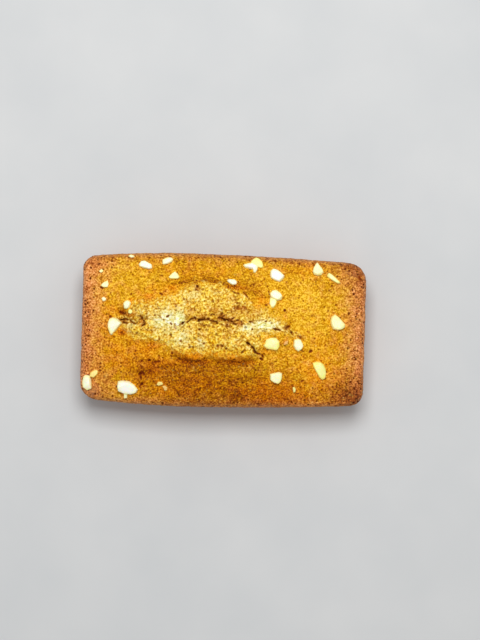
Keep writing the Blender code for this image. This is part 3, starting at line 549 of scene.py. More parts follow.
STAINS = (  # x, y, half length, half width, browning: below 0, they are paler than the crust round them
    # darker
    (-41.0, -5.0, 1.6, 9.0, 0.03), (-37.8, 17.4, 2.0, 1.4, 0.05), (-37.0, -19.5, 3.5, 1.5, 0.12),
    (-33.8, -2.6, 2.0, 0.7, 0.10), (-30.4, 9.8, 2.0, 1.4, 0.07), (-30.2, -1.0, 1.4, 1.2, 0.30),
    (-30.2, 4.8, 1.2, 0.8, 0.26), (-30.0, -6.6, 2.4, 1.5, 0.06), (-22.0, -12.0, 2.2, 1.0, 0.08),
    (-20.0, -12.0, 10.0, 6.0, 0.13), (-13.4, -8.4, 2.0, 0.9, 0.04), (-13.0, -15.2, 1.6, 0.8, 0.08),
    (-12.0, 19.5, 3.6, 1.8, 0.09), (-12.0, -18.5, 2.0, 0.8, 0.06), (-9.0, -14.7, 1.3, 0.5, 0.10),
    (-4.2, -10.4, 1.8, 0.9, 0.06), (-3.5, -16.0, 1.8, 1.2, 0.12), (-3.0, -10.8, 9.0, 1.2, 0.03),
    (2.5, -14.8, 2.2, 0.6, 0.12), (4.5, -18.0, 1.4, 1.8, 0.14), (8.0, -14.0, 1.5, 0.7, 0.12),
    (8.0, 12.4, 2.2, 1.2, 0.05), (10.0, -10.4, 2.4, 1.2, 0.07), (20.0, -19.0, 15.0, 3.5, 0.14),
    (23.0, 18.5, 4.5, 3.0, 0.08), (24.0, -17.5, 2.4, 0.7, 0.05), (24.0, -6.5, 2.0, 1.5, 0.10),
    (32.0, 19.4, 2.0, 1.0, 0.06), (34.0, 5.5, 2.0, 1.6, 0.07), (35.5, -15.6, 3.0, 1.4, 0.09),
    (36.0, -17.0, 4.5, 3.2, 0.12), (36.0, -18.5, 3.0, 1.6, 0.09), (40.0, -2.5, 1.6, 2.0, 0.07),
    (40.4, -20.0, 1.8, 1.4, 0.07), (40.5, 0.0, 2.5, 12.0, 0.03),
    # paler
    (-33.0, -18.5, 4.0, 2.0, -0.02), (-32.0, 13.0, 8.0, 7.0, -0.07), (-26.0, -7.0, 5.0, 2.2, -0.06),
    (-19.5, 11.5, 3.0, 1.4, -0.06), (-17.0, -18.0, 5.0, 2.4, -0.05), (-12.0, 15.5, 2.5, 1.1, -0.07),
    (-4.0, 1.3, 2.4, 0.7, -0.05), (-1.9, -8.5, 1.2, 0.8, -0.12), (3.0, -7.7, 3.6, 0.7, -0.08),
    (5.0, 15.6, 4.0, 1.0, -0.05), (16.0, -6.5, 4.5, 2.0, -0.08), (18.0, 5.6, 2.0, 1.4, -0.09),
    (18.0, 9.5, 2.0, 1.5, -0.08), (18.0, -18.4, 2.6, 1.2, -0.08), (26.0, -0.6, 2.2, 1.6, -0.08),
    (28.0, -14.0, 7.0, 6.0, -0.11), (28.0, -14.6, 2.0, 1.3, -0.06), (40.0, -16.5, 1.6, 1.8, -0.07),
)


def furrow_shade(x, y):
    """Painted shade, as extra browning, in the soft furrow round the far side of the burst."""
    if y < FURROW_SHADE_FROM:
        return 0.0
    return sum(by * bump(line_distance(x, y, points), half) for half, by, *points in FURROW_SHADE_LINES)


def lip_shadow(x, y):
    """Painted shadow as extra browning: a dark line under the ledge, with softer shade before it."""
    out, side = outside(x, y, BURST_ABOVE, BURST_BELOW)
    if side > 0:
        return 0.0
    lobes = 1 - bump(x - LOBES_MEET, LOBES_MEET_HALF)
    line = LIP_SHADOW * lobes * bump(out - LIP_SHADOW_LINE, LIP_SHADOW_HALF)
    return stretch(x, LIP_RISE, LIP_FALL) * (line + LIP_SHADE * bump(out - LIP_SHADE_AT, LIP_SHADE_HALF))


def stains(x, y):
    """The sum of the crust's soft stains at a point."""
    return sum(s * bump(math.hypot((x - px) / rx, (y - py) / ry), 1) for px, py, rx, ry, s in STAINS)


print(len(FURROW_SHADE_LINES), "lines and", len(STAINS), "stains in the crust")

# %% The crust's browning, and how near the tin was
BROWN_MIDDLE = 0.27
BROWN_ENDS, ENDS_WIDE = 0.16, 5.0  # the short ends, over this many millimetres
BROWN_SIDES, SIDES_WIDE = {1: 0.30, -1: 0.06}, 1.8  # the long edges, by side in y
BROWN_CORNERS = {(-1, 1): 0.0, (-1, -1): 0.07, (1, 1): 0.22, (1, -1): 0.29}
CORNERS_WIDE = 9.0
BROWN_FRONT, FRONT_FROM, FRONT_TO = 0.23, 7.0, 13.0  # the crust in front of the burst
FRONT_AT, FRONT_WIDE = -3.0, 24.0
GOLD, GOLD_AT, GOLD_WIDE = 0.10, (25.0, 7.0), 12.0  # the palest crust
BROWN_WALL, BROWN_BASE = 0.44, 0.58
AMBER_WALL = 0.6
TIN_END_WIDE, TIN_SIDE_WIDE = 5.2, 2.2  # mm over which the tin's heat reached in from the ends and the sides
TIN_SIDES = {1: 0.45, -1: 0.6}  # how much of it the sides had, by side in y


def browning(x, y):
    """How brown the top is, with the painted shade of the furrow and under the ledge added in."""
    end, side = LENGTH / 2 - abs(x), half_width(x) - abs(y)
    corner = BROWN_CORNERS[(1 if x > 0 else -1), (1 if y > 0 else -1)]
    brown = BROWN_MIDDLE + BROWN_ENDS * math.exp(-end / ENDS_WIDE)
    brown += BROWN_SIDES[1 if y > 0 else -1] * math.exp(-side / SIDES_WIDE)
    brown += corner * bump(math.hypot(end, side), CORNERS_WIDE)
    brown += BROWN_FRONT * ramp(-y, FRONT_FROM, FRONT_TO) * bump(x - FRONT_AT, FRONT_WIDE)
    # painted shade: a line in the furrow's crease and a shadow under the ledge; then the stains
    brown += furrow_shade(x, y) + lip_shadow(x, y) + stains(x, y)
    return brown - GOLD * bump(math.hypot(x - GOLD_AT[0], y - GOLD_AT[1]), GOLD_WIDE)


def nearness(x, y):
    """1 where the crust baked near the tin, 0 in the middle of the top."""
    end, side = LENGTH / 2 - abs(x), half_width(x) - abs(y)
    sides = TIN_SIDES[1 if y > 0 else -1] * bump(side, TIN_SIDE_WIDE)
    return max(bump(end, TIN_END_WIDE), sides, bump(math.hypot(end, side), CORNERS_WIDE))


palest, far_rim = (round(browning(*at), 2) for at in (GOLD_AT, (0, 22)))
print("the browning is", palest, "where the crust is palest, and", far_rim, "on the far rim")

# %% [markdown]
# ## The fine mesh
# The shape starts as a square grid whose edge is extruded down, ring by ring, and closed with a floor. Then
# every vertex is moved to its place on the cake by the functions above. That is one closed skin with even
# cells, which Boolean or sculpting tools wouldn't leave. The rings are close together round the rim and the
# foot, where the surface turns.
#
# Extruding hands back its faces in an order that changes from run to run. The loose crumbs further on are
# drawn face by face, so some of them would lie elsewhere each time. That is why the walls are sorted before
# anything is drawn.

# %% Rings from the edge of the top down to the base
RIM_RINGS, WALL_RINGS, BASE_RINGS = 9, 18, 6


def arc(radius, start, end, steps):
    """(out, up) points on an arc between two angles from the level, the first one left out."""
    for k in range(1, steps + 1):
        angle = start + (end - start) * k / steps
        yield radius * math.cos(angle), radius * math.sin(angle)


def profile():
    """(inset, height) of each ring."""
    rings = [(RIM_RADIUS, WALL_TOP + RIM_RADIUS)]
    for out, up in arc(RIM_RADIUS, math.pi / 2, -LEAN, RIM_RINGS):
        rings.append((RIM_RADIUS - out, WALL_TOP + up))
    wall_inset, wall_top = rings[-1]
    wall_foot = BASE_RADIUS * (1 - math.sin(LEAN))
    for k in range(1, WALL_RINGS + 1):
        down = (wall_top - wall_foot) * k / WALL_RINGS
        rings.append((wall_inset + down * math.tan(LEAN), wall_top - down))
    foot_inset = rings[-1][0] + BASE_RADIUS * math.cos(LEAN)
    for out, up in arc(BASE_RADIUS, -LEAN, -math.pi / 2, BASE_RINGS):
        rings.append((foot_inset - out, BASE_RADIUS + up))
    return rings


RINGS = profile()
WALKED = [0.0]  # how far it is from the edge of the top to each ring, over the surface
for (inset_a, height_a), (inset_b, height_b) in zip(RINGS, RINGS[1:]):
    WALKED.append(WALKED[-1] + math.hypot(inset_b - inset_a, height_b - height_a))
print(len(RINGS), "rings,", round(WALKED[-1], 1), "mm from rim to base over the surface")

# %% From the unit shape to the cake
COLUMNS, ROWS = 328, 182
COLUMN_BANDS = ((-1.0, -1.0), (-0.80, -0.77), (0.62, 0.58), (1.0, 1.0))  # from even columns to closer ones
ROW_BANDS = ((-1.0, -1.0), (-0.62, -0.50), (0.76, 0.70), (1.0, 1.0))
OVERHANG, OVERHANG_AT = 0.12, 0.5  # mm that the ledge's edge leans out, and how far in it starts to
OVERHANG_RISE, OVERHANG_FALL = (-16, -11), (8, 13)  # x over which it comes in, and goes


def in_order(parts, place):
    """Sorts vertices or faces: the grid's own stay first, as they are, then ring by ring, round each ring."""
    parts.index_update()
    count = len(parts)

    def rank(part):
        x, y, z = place(part)
        return 1 - 2 * z + math.atan2(y, x) / math.tau if z else part.index / count

    parts.sort(key=rank)
    parts.index_update()


def unit_shape():
    """A grid from -1 to 1, with rings of wall hung from its edge, each at z = -its number, and a floor."""
    bm = bmesh.new()
    bmesh.ops.create_grid(bm, x_segments=COLUMNS, y_segments=ROWS, size=1.0)
    edge = [e for e in bm.edges if e.is_boundary]
    for _ in RINGS[1:]:
        made = bmesh.ops.extrude_edge_only(bm, edges=edge)["geom"]
        bmesh.ops.translate(bm, vec=(0, 0, -1), verts=[g for g in made if isinstance(g, bmesh.types.BMVert)])
        edge = [g for g in made if isinstance(g, bmesh.types.BMEdge) and g.is_boundary]
    bmesh.ops.contextual_create(bm, geom=edge)
    bmesh.ops.recalc_face_normals(bm, faces=bm.faces)
    in_order(bm.verts, lambda vert: vert.co)
    in_order(bm.faces, lambda face: face.calc_center_median())
    return bm


def overhang(x, y):
    """How far the edge of the ledge leans out over the crust in front of it."""
    out, side = outside(x, y, BURST_ABOVE, BURST_BELOW)
    if side > 0:
        return 0.0
    return OVERHANG * stretch(x, OVERHANG_RISE, OVERHANG_FALL) * bump(out + OVERHANG_AT, OVERHANG_AT)


def cake_point(u, v, ring, inset, height):
    """A point of the unit shape on the cake. Ring 0 is the edge of the top and all within it."""
    x, y = plan_point(u, v, inset)
    height *= 1 + UNEVEN * wander(x, y, UNEVEN_SIZE, TIN_LAYER)
    if ring <= RIM_RINGS:
        return Vector((x, y - overhang(x, y), height + crust(x, y)))
    dent = DENT * wander(x, y, DENT_SIZE, height / DENT_SIZE) * math.sin(math.pi * min(height / WALL_TOP, 1))
    return Vector((x * (1 - dent / (LENGTH / 2)), y * (1 - dent / (WIDTH / 2)), height))


print("the middle of the top is at", [round(c, 1) for c in cake_point(0, 0, 0, *RINGS[0])])

# %% [markdown]
# ## The skin, with its numbers and its map
# The numbers are stored on the vertices as attributes, which any material can read by name. The same walk
# gives a UV map for baking textures: the top is laid flat, the walls are folded out round it without a seam,
# and the base lies beside them. Unwrapping tools would cut the walls into strips. All three parts have the
# same scale, so a pattern baked on them is as fine on the base as on the top.

# %% The skin
NUMBERS = ("crumb", "gap", "pale", "toast", "brown", "amber", "rim", "rim_sheen")
RIM_SHEEN_DOWN = 2.4  # mm down the wall over which the painted sheen of the rim's edge fades away
SHEET = 124.0  # mm of cake across the whole UV square
SKIRT_MIDDLE, BASE_MIDDLE = (0.5, 0.66), (0.5, 0.16)


def map_place(u, v, ring):
    """Where a vertex of the top or the walls lies on the UV square."""
    x, y = plan_point(u, v, RIM_RADIUS)
    if ring:
        out_x, out_y = plan_point(u, v, 0)
        away = math.hypot(out_x - x, out_y - y)
        x += (out_x - x) / away * WALKED[ring]
        y += (out_y - y) / away * WALKED[ring]
    return SKIRT_MIDDLE[0] + x / SHEET, SKIRT_MIDDLE[1] + y / SHEET


def baked(x, y, z, ring):
    """The numbers at a point, by name. Those left out are 0."""
    # painted sheen along the turned edge of the rim, and at three corners
    rim_sheen = max(ramp(RIM_RADIUS - RINGS[ring][0], 0, RIM_RADIUS), patches(x, y, RIM_SHEEN_PATCHES))
    found = {"rim_sheen": rim_sheen * ramp(z, WALL_TOP - RIM_SHEEN_DOWN, WALL_TOP)}
    if ring > RIM_RINGS:
        low = ramp(WALL_TOP - z, 0, WALL_TOP)
        found.update(brown=BROWN_WALL + (BROWN_BASE - BROWN_WALL) * low, amber=AMBER_WALL, rim=1.0)
    else:
        found.update(crumb=open_crumb(x, y), gap=crevices(x, y)[1], brown=browning(x, y), rim=nearness(x, y))
        found.update(pale=patches(x, y, PALE), toast=patches(x, y, TOASTED), amber=patches(x, y, AMBER))
    return found


def in_scene(name, data):
    """A new object that holds this mesh, light or camera."""
    made = bpy.data.objects.new(name, data)
    bpy.context.scene.collection.objects.link(made)
    return made


def mesh_of(bm, name):
    """The finished shape as a plain mesh."""
    mesh = bpy.data.meshes.new(name)
    bm.to_mesh(mesh)
    bm.free()
    return mesh


def triangles(made):
    """How many triangles an object has."""
    return sum(len(p.vertices) - 2 for p in made.data.polygons)


def cake_skin():
    bm = unit_shape()
    layers = {name: bm.verts.layers.float.new(name) for name in NUMBERS}
    places = {}
    for vert in bm.verts:
        u, v, level = vert.co
        u, v, ring = between(COLUMN_BANDS, u)[0], between(ROW_BANDS, v)[0], round(-level)
        places[vert] = map_place(u, v, ring)
        vert.co = cake_point(u, v, ring, *RINGS[ring])
        for name, number in baked(*vert.co, ring).items():
            vert[layers[name]] = number
    flat = bm.loops.layers.uv.new("OFBake")
    for face in bm.faces:
        base = len(face.verts) > 4
        for loop in face.loops:
            x, y, _ = loop.vert.co
            on_base = (BASE_MIDDLE[0] + x / SHEET, BASE_MIDDLE[1] - y / SHEET)
            loop[flat].uv = on_base if base else places[loop.vert]
    bmesh.ops.triangulate(bm, faces=[f for f in bm.faces if len(f.verts) > 4])
    bmesh.ops.scale(bm, vec=(MM, MM, MM), verts=bm.verts)
    mesh = mesh_of(bm, "sponge")
    mesh.shade_smooth()
    return in_scene("sponge", mesh)


sponge = cake_skin()
print("the skin has", triangles(sponge), "triangles")

# %% [markdown]
# ## Building node trees
# Materials and Geometry Nodes are both graphs. One small function adds a node with its settings and links it
# up, so that a tree reads from top to bottom like a recipe. Colours are written as sRGB hex, as a colour
# picker gives them, and turned to the linear values that a renderer needs in one place.


# %% One helper for nodes, one for colours
def linear(code):
    """An sRGB hex colour as linear red, green, blue and alpha, by the curve that the standard sets."""
    parts = [int(code[k:k + 2], 16) / 255 for k in (1, 3, 5)]
    return (*[p / 12.92 if p <= 0.04045 else ((p + 0.055) / 1.055) ** 2.4 for p in parts], 1.0)


def add(tree, kind, sockets=(), **settings):
    """A new node. sockets is a list of values in order, or a dict by name; a value may be a node or an
    output. The setting stops fills a colour ramp."""
    made = tree.nodes.new(kind)
    stops = settings.pop("stops", ())
    for name, value in settings.items():
        setattr(made, name, value)
    usable = [s for s in made.inputs if s.enabled]
    if isinstance(sockets, dict):
        pairs = [(next(s for s in usable if s.name == name), value) for name, value in sockets.items()]
    else:
        pairs = list(zip(usable, sockets))
    for socket, value in pairs:
        if isinstance(value, bpy.types.Node):
            value = next(s for s in value.outputs if s.enabled)
        if isinstance(value, bpy.types.NodeSocket):
            tree.links.new(value, socket)
        else:
            socket.default_value = value
    for number, (at, code) in enumerate(stops):
        stop = made.color_ramp.elements[number] if number < 2 else made.color_ramp.elements.new(at)
        stop.position, stop.color = at, linear(code)
    return made


print("half bright in sRGB is", round(linear("#808080")[0], 3), "in linear light")


# %% Helpers for Geometry Nodes
def new_tree(name, inputs):
    """A Geometry Nodes tree with a geometry in and out, and inputs from {name: (socket type, value)}."""
    tree = bpy.data.node_groups.new(name, "GeometryNodeTree")
    tree.interface.new_socket("Geometry", in_out="INPUT", socket_type="NodeSocketGeometry")
    tree.interface.new_socket("Geometry", in_out="OUTPUT", socket_type="NodeSocketGeometry")
    for label, (kind, _) in inputs.items():
        tree.interface.new_socket(label, in_out="INPUT", socket_type=kind)
    return tree


def settle(made):
    """Turns what an object's modifiers show into its plain mesh, and takes them off."""
    bpy.context.view_layer.update()
    mesh = bpy.data.meshes.new_from_object(made.evaluated_get(bpy.context.evaluated_depsgraph_get()))
    made.modifiers.clear()
    made.data = mesh


def grow(made, tree, inputs):
    """Runs the tree on the object, with its inputs set by identifier, and keeps what it made."""
    modifier = made.modifiers.new(tree.name, "NODES")
    modifier.node_group = tree
    for item in tree.interface.items_tree:
        if item.in_out == "INPUT" and item.name in inputs:
            modifier[item.identifier] = inputs[item.name][1]
    settle(made)
    print(made.name, "has", triangles(made), "triangles")


print("the names of nodes are those of Blender", bpy.app.version_string)

# %% [markdown]
# ## Patterns that both form and colour use
# A pore is a small pit and a dark spot of painted shade at once. If the relief and the colour each had a
# pattern of their own, the painted shade would lie beside its pit. So every pattern is a function that adds
# the same few nodes to any tree, and both trees read the same coordinates: the place of each point before any
# relief, stored in millimetres as "rest".
#
# Pinholes in a crust are round, of many sizes, and never quite touch, which is what a Voronoi texture gives:
# each cell has its own random size. Near the tin the crust also has finer ones, and they open wider where it
# browned.

# %% Grain and spots
NOISE_RANGE = (0.3, 0.7)  # nearly all that a noise texture gives
GRAIN_DETAIL = 3.0  # octaves of finer noise in it
SPOT_CORE = 0.55  # the share of a spot's radius that it is fully there
LEAST_SPOT = 0.001  # so that no distance is divided by 0


def grain(tree, place, size, detail=GRAIN_DETAIL):
    """Fine irregular flecks, about 0.3 to 0.7."""
    return add(tree, "ShaderNodeTexNoise", {"Vector": place, "Scale": 1 / size, "Detail": detail})


def spots(tree, place, spacing, reach, wider=0.0):
    """Round spots: 1 in the middle, 0 outside, of random size. reach is their least and most radius, in
    spacings, and below 0 there is none. wider adds to it."""
    cells = add(tree, "ShaderNodeTexVoronoi", {"Vector": place, "Scale": 1 / spacing})
    draw = add(tree, "ShaderNodeSeparateXYZ", [cells.outputs["Color"]])
    size = add(tree, "ShaderNodeMapRange", [draw, 0.0, 1.0, *reach])
    size = add(tree, "ShaderNodeMath", [size, wider], operation="ADD")
    size = add(tree, "ShaderNodeMath", [size, LEAST_SPOT], operation="MAXIMUM")
    share = add(tree, "ShaderNodeMath", [cells, size], operation="DIVIDE")
    return add(tree, "ShaderNodeMapRange", [share, SPOT_CORE, 1.0, 1.0, 0.0], interpolation_type="SMOOTHSTEP")


print("a spot is soft over the outer", round(1 - SPOT_CORE, 2), "of its radius")

# %% Pores, bubbles and torn borders
GRAIN_SIZE = 0.48  # mm, the crust's light and dark flecks, which are about twice this from one to the next
BLOTCH_SIZE = 2.75  # mm, the same for broader unevenness
PORE_SPACING, PORE_REACH = 1.25, (-0.08, 0.30)  # mm between the pinholes of the crust
PORE_DENSER, PORE_DENSER_NEAR_TIN = 0.18, 0.06  # how much wider they open on brown crust, and near the tin
FINE_PORE_SPACING, FINE_PORE_REACH = 0.95, (-0.36, 0.08)  # the finer ones
FINE_PORE_NEAR_TIN = 0.36  # how much wider they open near the tin; elsewhere there are hardly any
CRUMB_SIZE = 0.9  # mm, the lumps of open crumb
BUBBLE_SPACING, BUBBLE_REACH = 1.7, (-0.1, 0.36)  # mm between the open bubbles of the crumb
FRAY = 0.3  # how much the border between crumb and crust is frayed
TIGHT, SOFT = 0.2, 0.42  # how softly it is drawn: in the relief, and in the colour


def pores(tree, place, brown, rim):
    """The pinholes of the crust, coarse and fine."""
    wider = add(tree, "ShaderNodeMath", [brown, PORE_DENSER], operation="MULTIPLY")
    wider = add(tree, "ShaderNodeMath", [rim, PORE_DENSER_NEAR_TIN, wider], operation="MULTIPLY_ADD")
    coarse = spots(tree, place, PORE_SPACING, PORE_REACH, wider)
    wider = add(tree, "ShaderNodeMath", [rim, FINE_PORE_NEAR_TIN], operation="MULTIPLY")
    fine = spots(tree, place, FINE_PORE_SPACING, FINE_PORE_REACH, wider)
    return add(tree, "ShaderNodeMath", [coarse, fine], operation="MAXIMUM")


def bubbles(tree, place):
    """The broken bubbles of the open crumb."""
    return spots(tree, place, BUBBLE_SPACING, BUBBLE_REACH)


def frayed(tree, share, place, size, half=TIGHT):
    """A soft border made ragged, by adding noise before it is drawn in."""
    noise_here = add(tree, "ShaderNodeMapRange", [grain(tree, place, size), *NOISE_RANGE, -FRAY, FRAY])
    moved = add(tree, "ShaderNodeMath", [share, noise_here], operation="ADD")
    return add(tree, "ShaderNodeMapRange", [moved, 0.5 - half, 0.5 + half, 0.0, 1.0],
               interpolation_type="SMOOTHSTEP")


print("the largest pinhole is", round(2 * PORE_SPACING * (PORE_REACH[1] + PORE_DENSER), 2), "mm wide")

# %% [markdown]
# ## Relief
# Under a finger the crust feels like fine sandpaper with pinholes, and the open crumb like a torn sponge. A
# bump map could fake both, but the outline against the light and the shade inside each hole would stay
# smooth. Geometry Nodes moves every vertex along its normal instead, by the patterns above. The walls baked
# against the tin, so they are smoother, and the foot isn't moved at all, so that the cake stands flat.

# %% A tree that roughens the skin
RELIEF = {  # depths are in mm
    "Grain depth": ("NodeSocketFloat", 0.07),
    "Blotch depth": ("NodeSocketFloat", 0.12),
    "Pore depth": ("NodeSocketFloat", 0.32),
    "Crumb depth": ("NodeSocketFloat", 0.22),
    "Bubble depth": ("NodeSocketFloat", 0.35),
    "Wall share": ("NodeSocketFloat", 0.55),  # of the relief that the walls have
    "Foot": ("NodeSocketFloat", 1.6),  # mm up, where the relief is all there
    "Skin": ("NodeSocketMaterial", None),
}
STILL_FOOT = 0.2  # mm up to where there is none
EASE = 1.0  # mm above and below the top of the walls, over which the wall's share comes in
LUMP_DETAIL = 2.5  # octaves


def relief_tree():
    tree = new_tree("sponge_relief", RELIEF)
    entry = add(tree, "NodeGroupInput")
    sizes = entry.outputs
    place = add(tree, "GeometryNodeInputPosition")
    place = add(tree, "ShaderNodeVectorMath", [place, 1 / MM], operation="SCALE")
    crumb, brown, rim = (add(tree, "GeometryNodeInputNamedAttribute", {"Name": name}, data_type="FLOAT")
                         for name in ("crumb", "brown", "rim"))
    kept = add(tree, "GeometryNodeStoreNamedAttribute",
               {"Geometry": sizes["Geometry"], "Name": "rest", "Value": place},
               data_type="FLOAT_VECTOR", domain="POINT")

    flecks, blotches, lumps = (
        add(tree, "ShaderNodeMapRange", [pattern, *NOISE_RANGE, -1.0, 1.0], clamp=False)
        for pattern in (grain(tree, place, GRAIN_SIZE), grain(tree, place, BLOTCH_SIZE),
                        grain(tree, place, CRUMB_SIZE, LUMP_DETAIL)))
    crust_up = add(tree, "ShaderNodeMath", [flecks, sizes["Grain depth"]], operation="MULTIPLY")
    crust_up = add(tree, "ShaderNodeMath", [
        blotches, sizes["Blotch depth"], crust_up], operation="MULTIPLY_ADD")
    pits = pores(tree, place, brown, rim)
    pits = add(tree, "ShaderNodeMath", [pits, sizes["Pore depth"]], operation="MULTIPLY")
    crust_up = add(tree, "ShaderNodeMath", [crust_up, pits], operation="SUBTRACT")
    crumb_up = add(tree, "ShaderNodeMath", [lumps, sizes["Crumb depth"]], operation="MULTIPLY")
    pits = add(tree, "ShaderNodeMath", [bubbles(tree, place), sizes["Bubble depth"]], operation="MULTIPLY")
    crumb_up = add(tree, "ShaderNodeMath", [crumb_up, pits], operation="SUBTRACT")

    torn = frayed(tree, crumb, place, CRUMB_SIZE)
    up = add(tree, "ShaderNodeMix", [torn, crust_up, crumb_up], data_type="FLOAT")
    height = add(tree, "ShaderNodeSeparateXYZ", [place]).outputs["Z"]
    on_wall = add(tree, "ShaderNodeMapRange", [
        height, WALL_TOP - EASE, WALL_TOP + EASE, sizes["Wall share"], 1.0])
    above_foot = add(tree, "ShaderNodeMapRange", [height, STILL_FOOT, sizes["Foot"], 0.0, 1.0])
    for share in (add(tree, "ShaderNodeMath", [on_wall, above_foot], operation="MULTIPLY"), MM):
        up = add(tree, "ShaderNodeMath", [up, share], operation="MULTIPLY")
    push = add(tree, "ShaderNodeVectorMath", [add(tree, "GeometryNodeInputNormal"), up], operation="SCALE")
    moved = add(tree, "GeometryNodeSetPosition", {"Geometry": kept, "Offset": push})
    plain = add(tree, "GeometryNodeRealizeInstances", {"Geometry": moved})
    dressed = add(tree, "GeometryNodeSetMaterial", {"Geometry": plain, "Material": sizes["Skin"]})
    add(tree, "NodeGroupOutput", {"Geometry": dressed})
    return tree


print("the relief reads", len(RELIEF) - 1, "sizes and a material")

# %% [markdown]
# ## The crust's colour
# A financier's batter is egg white, ground almond and browned butter. Its crust is golden where the batter
# faced the oven's air, orange where butter soaked in, rosier and darker where it lay against the hot tin, and
# peppered with pinholes. Along the very edge of the rim a pale, greyish sheen is painted in.
#
# Painting a picture would tie all this to one view. The material has three scales of colour instead, one for
# each kind of crust, that run from pale to burnt. The browning picks the place on the scale, the other
# numbers mix the scales, and noise breaks every border, at sizes taken from the real thing: flecks under a
# millimetre.

# %% From pale to burnt
GOLDEN = ((0.0, "#facb40"), (0.12, "#ebb224"), (0.27, "#d59a0e"),
          (0.48, "#b37604"), (0.68, "#8c4c04"), (1.0, "#56290a"))
BUTTERY = ((0.0, "#feb22e"), (0.14, "#f09a14"), (0.3, "#da8204"),
           (0.5, "#ba6402"), (0.7, "#904204"), (1.0, "#5a260a"))
ROSY = ((0.0, "#ffc08a"), (0.15, "#f8aa6c"), (0.35, "#dc8848"), (0.6, "#a45824"), (1.0, "#5a2612"))
CRUST_FLECKS = ((0.48, 0.34), (1.1, 0.12), (5.5, 0.05))  # size in mm, and by how much they change a share
BUTTER_FLECKS, TIN_FLECKS, RIM_SHEEN_FLECKS = ((1.3, 0.2), (4.0, 0.2)), ((2.0, 0.2),), ((0.96, 0.45), (3.0, 0.35))
WALL_EVEN = 0.5  # the walls are this much as uneven, as the tin pressed them smooth
WALL_EVEN_FROM, WALL_EVEN_TO = -1.5, 0.5  # mm above the top of the walls, over which that ends
# painted sheen along the rim's edge: its colour, and how much of it there is
RIM_SHEEN_COLOUR, RIM_SHEEN_SHARE = "#dca878", 0.27
SPECK_SPACING, SPECK_REACH = 3.1, (-0.16, 0.14)  # mm between pale specks, each a grain of ground almond
SPECK_COLOUR, SPECK_SHARE = "#ffd074", 0.6
# painted shade in the pinholes: on plain crust, and near the tin
PORE_SHADE_COLOUR, TIN_PORE_SHADE_COLOUR = "#7c3c04", "#5a1f08"
PORE_SHADE_TIN = 0.3  # how much darker the pinholes' painted shade is near the tin
PORE_BROWN, PORE_SHADE_SHARE = (0.15, 0.50), (0.55, 1.0)  # the browner the crust, the darker the painted shade in the pinholes


def mottled(tree, share, place, flecks):
    """A share made uneven by flecks, from (size, by how much) pairs."""
    for size, by in flecks:
        fleck = grain(tree, place, size)
        fleck = add(tree, "ShaderNodeMapRange", [fleck, *NOISE_RANGE, -by, by], clamp=False)
        share = add(tree, "ShaderNodeMath", [share, fleck], operation="ADD")
    return share


def layered(tree, under, layers):
    """Colours laid over one another, from (share, colour) pairs."""
    for share, over in layers:
        under = add(tree, "ShaderNodeMix", [share, under, over], data_type="RGBA")
    return under


def crust_colour(tree, place, on):
    """The baked crust. on holds the numbers on the surface, by name."""
    height = add(tree, "ShaderNodeSeparateXYZ", [place]).outputs["Z"]
    calm = add(tree, "ShaderNodeMapRange", [
        height, WALL_TOP + WALL_EVEN_FROM, WALL_TOP + WALL_EVEN_TO, WALL_EVEN, 1.0])
    flecks = mottled(tree, 0.0, place, CRUST_FLECKS)
    depth = add(tree, "ShaderNodeMath", [flecks, calm, on["brown"]], operation="MULTIPLY_ADD")
    golden, buttery, rosy = (
        add(tree, "ShaderNodeValToRGB", [depth], stops=stops) for stops in (GOLDEN, BUTTERY, ROSY))
    near_tin = mottled(tree, on["rim"], place, TIN_FLECKS)
    # painted sheen along the rim's edge
    painted_sheen = mottled(tree, on["rim_sheen"], place, RIM_SHEEN_FLECKS)
    painted_sheen = add(tree, "ShaderNodeMath", [painted_sheen, RIM_SHEEN_SHARE], operation="MULTIPLY")
    painted_sheen = add(tree, "ShaderNodeMath", [painted_sheen, on["rim_sheen"]], operation="MULTIPLY", use_clamp=True)
    speck = spots(tree, place, SPECK_SPACING, SPECK_REACH)
    speck = add(tree, "ShaderNodeMath", [speck, SPECK_SHARE], operation="MULTIPLY")
    # painted shade in the pinholes, darker on browner crust and near the tin
    browner = add(tree, "ShaderNodeMath", [on["rim"], PORE_SHADE_TIN, on["brown"]], operation="MULTIPLY_ADD")
    pore_shade = add(tree, "ShaderNodeMapRange", [browner, *PORE_BROWN, *PORE_SHADE_SHARE])
    for share in (pores(tree, place, on["brown"], on["rim"]), calm):
        pore_shade = add(tree, "ShaderNodeMath", [share, pore_shade], operation="MULTIPLY")
    return layered(tree, golden, (
        (mottled(tree, on["amber"], place, BUTTER_FLECKS), buttery), (near_tin, rosy),
        (painted_sheen, linear(RIM_SHEEN_COLOUR)), (speck, linear(SPECK_COLOUR)),
        (pore_shade, layered(tree, linear(PORE_SHADE_COLOUR), [(near_tin, linear(TIN_PORE_SHADE_COLOUR))]))))


print("plain crust is", [round(c, 2) for c in linear(GOLDEN[2][1])[:3]], "in linear light")

# %% [markdown]
# ## The crumb's colour
# Inside, a financier is yellow from egg and butter, and matt. Sheltered crumb is almost white, and crumb
# beside the crack toasted. One colour with shading wouldn't do, as the lumps themselves differ: each is a
# little whiter or browner than the next. So the crumb also has scales of colour, read by its lumps. Small
# brown freckles lie over them, and painted shade on the floors of broken bubbles.

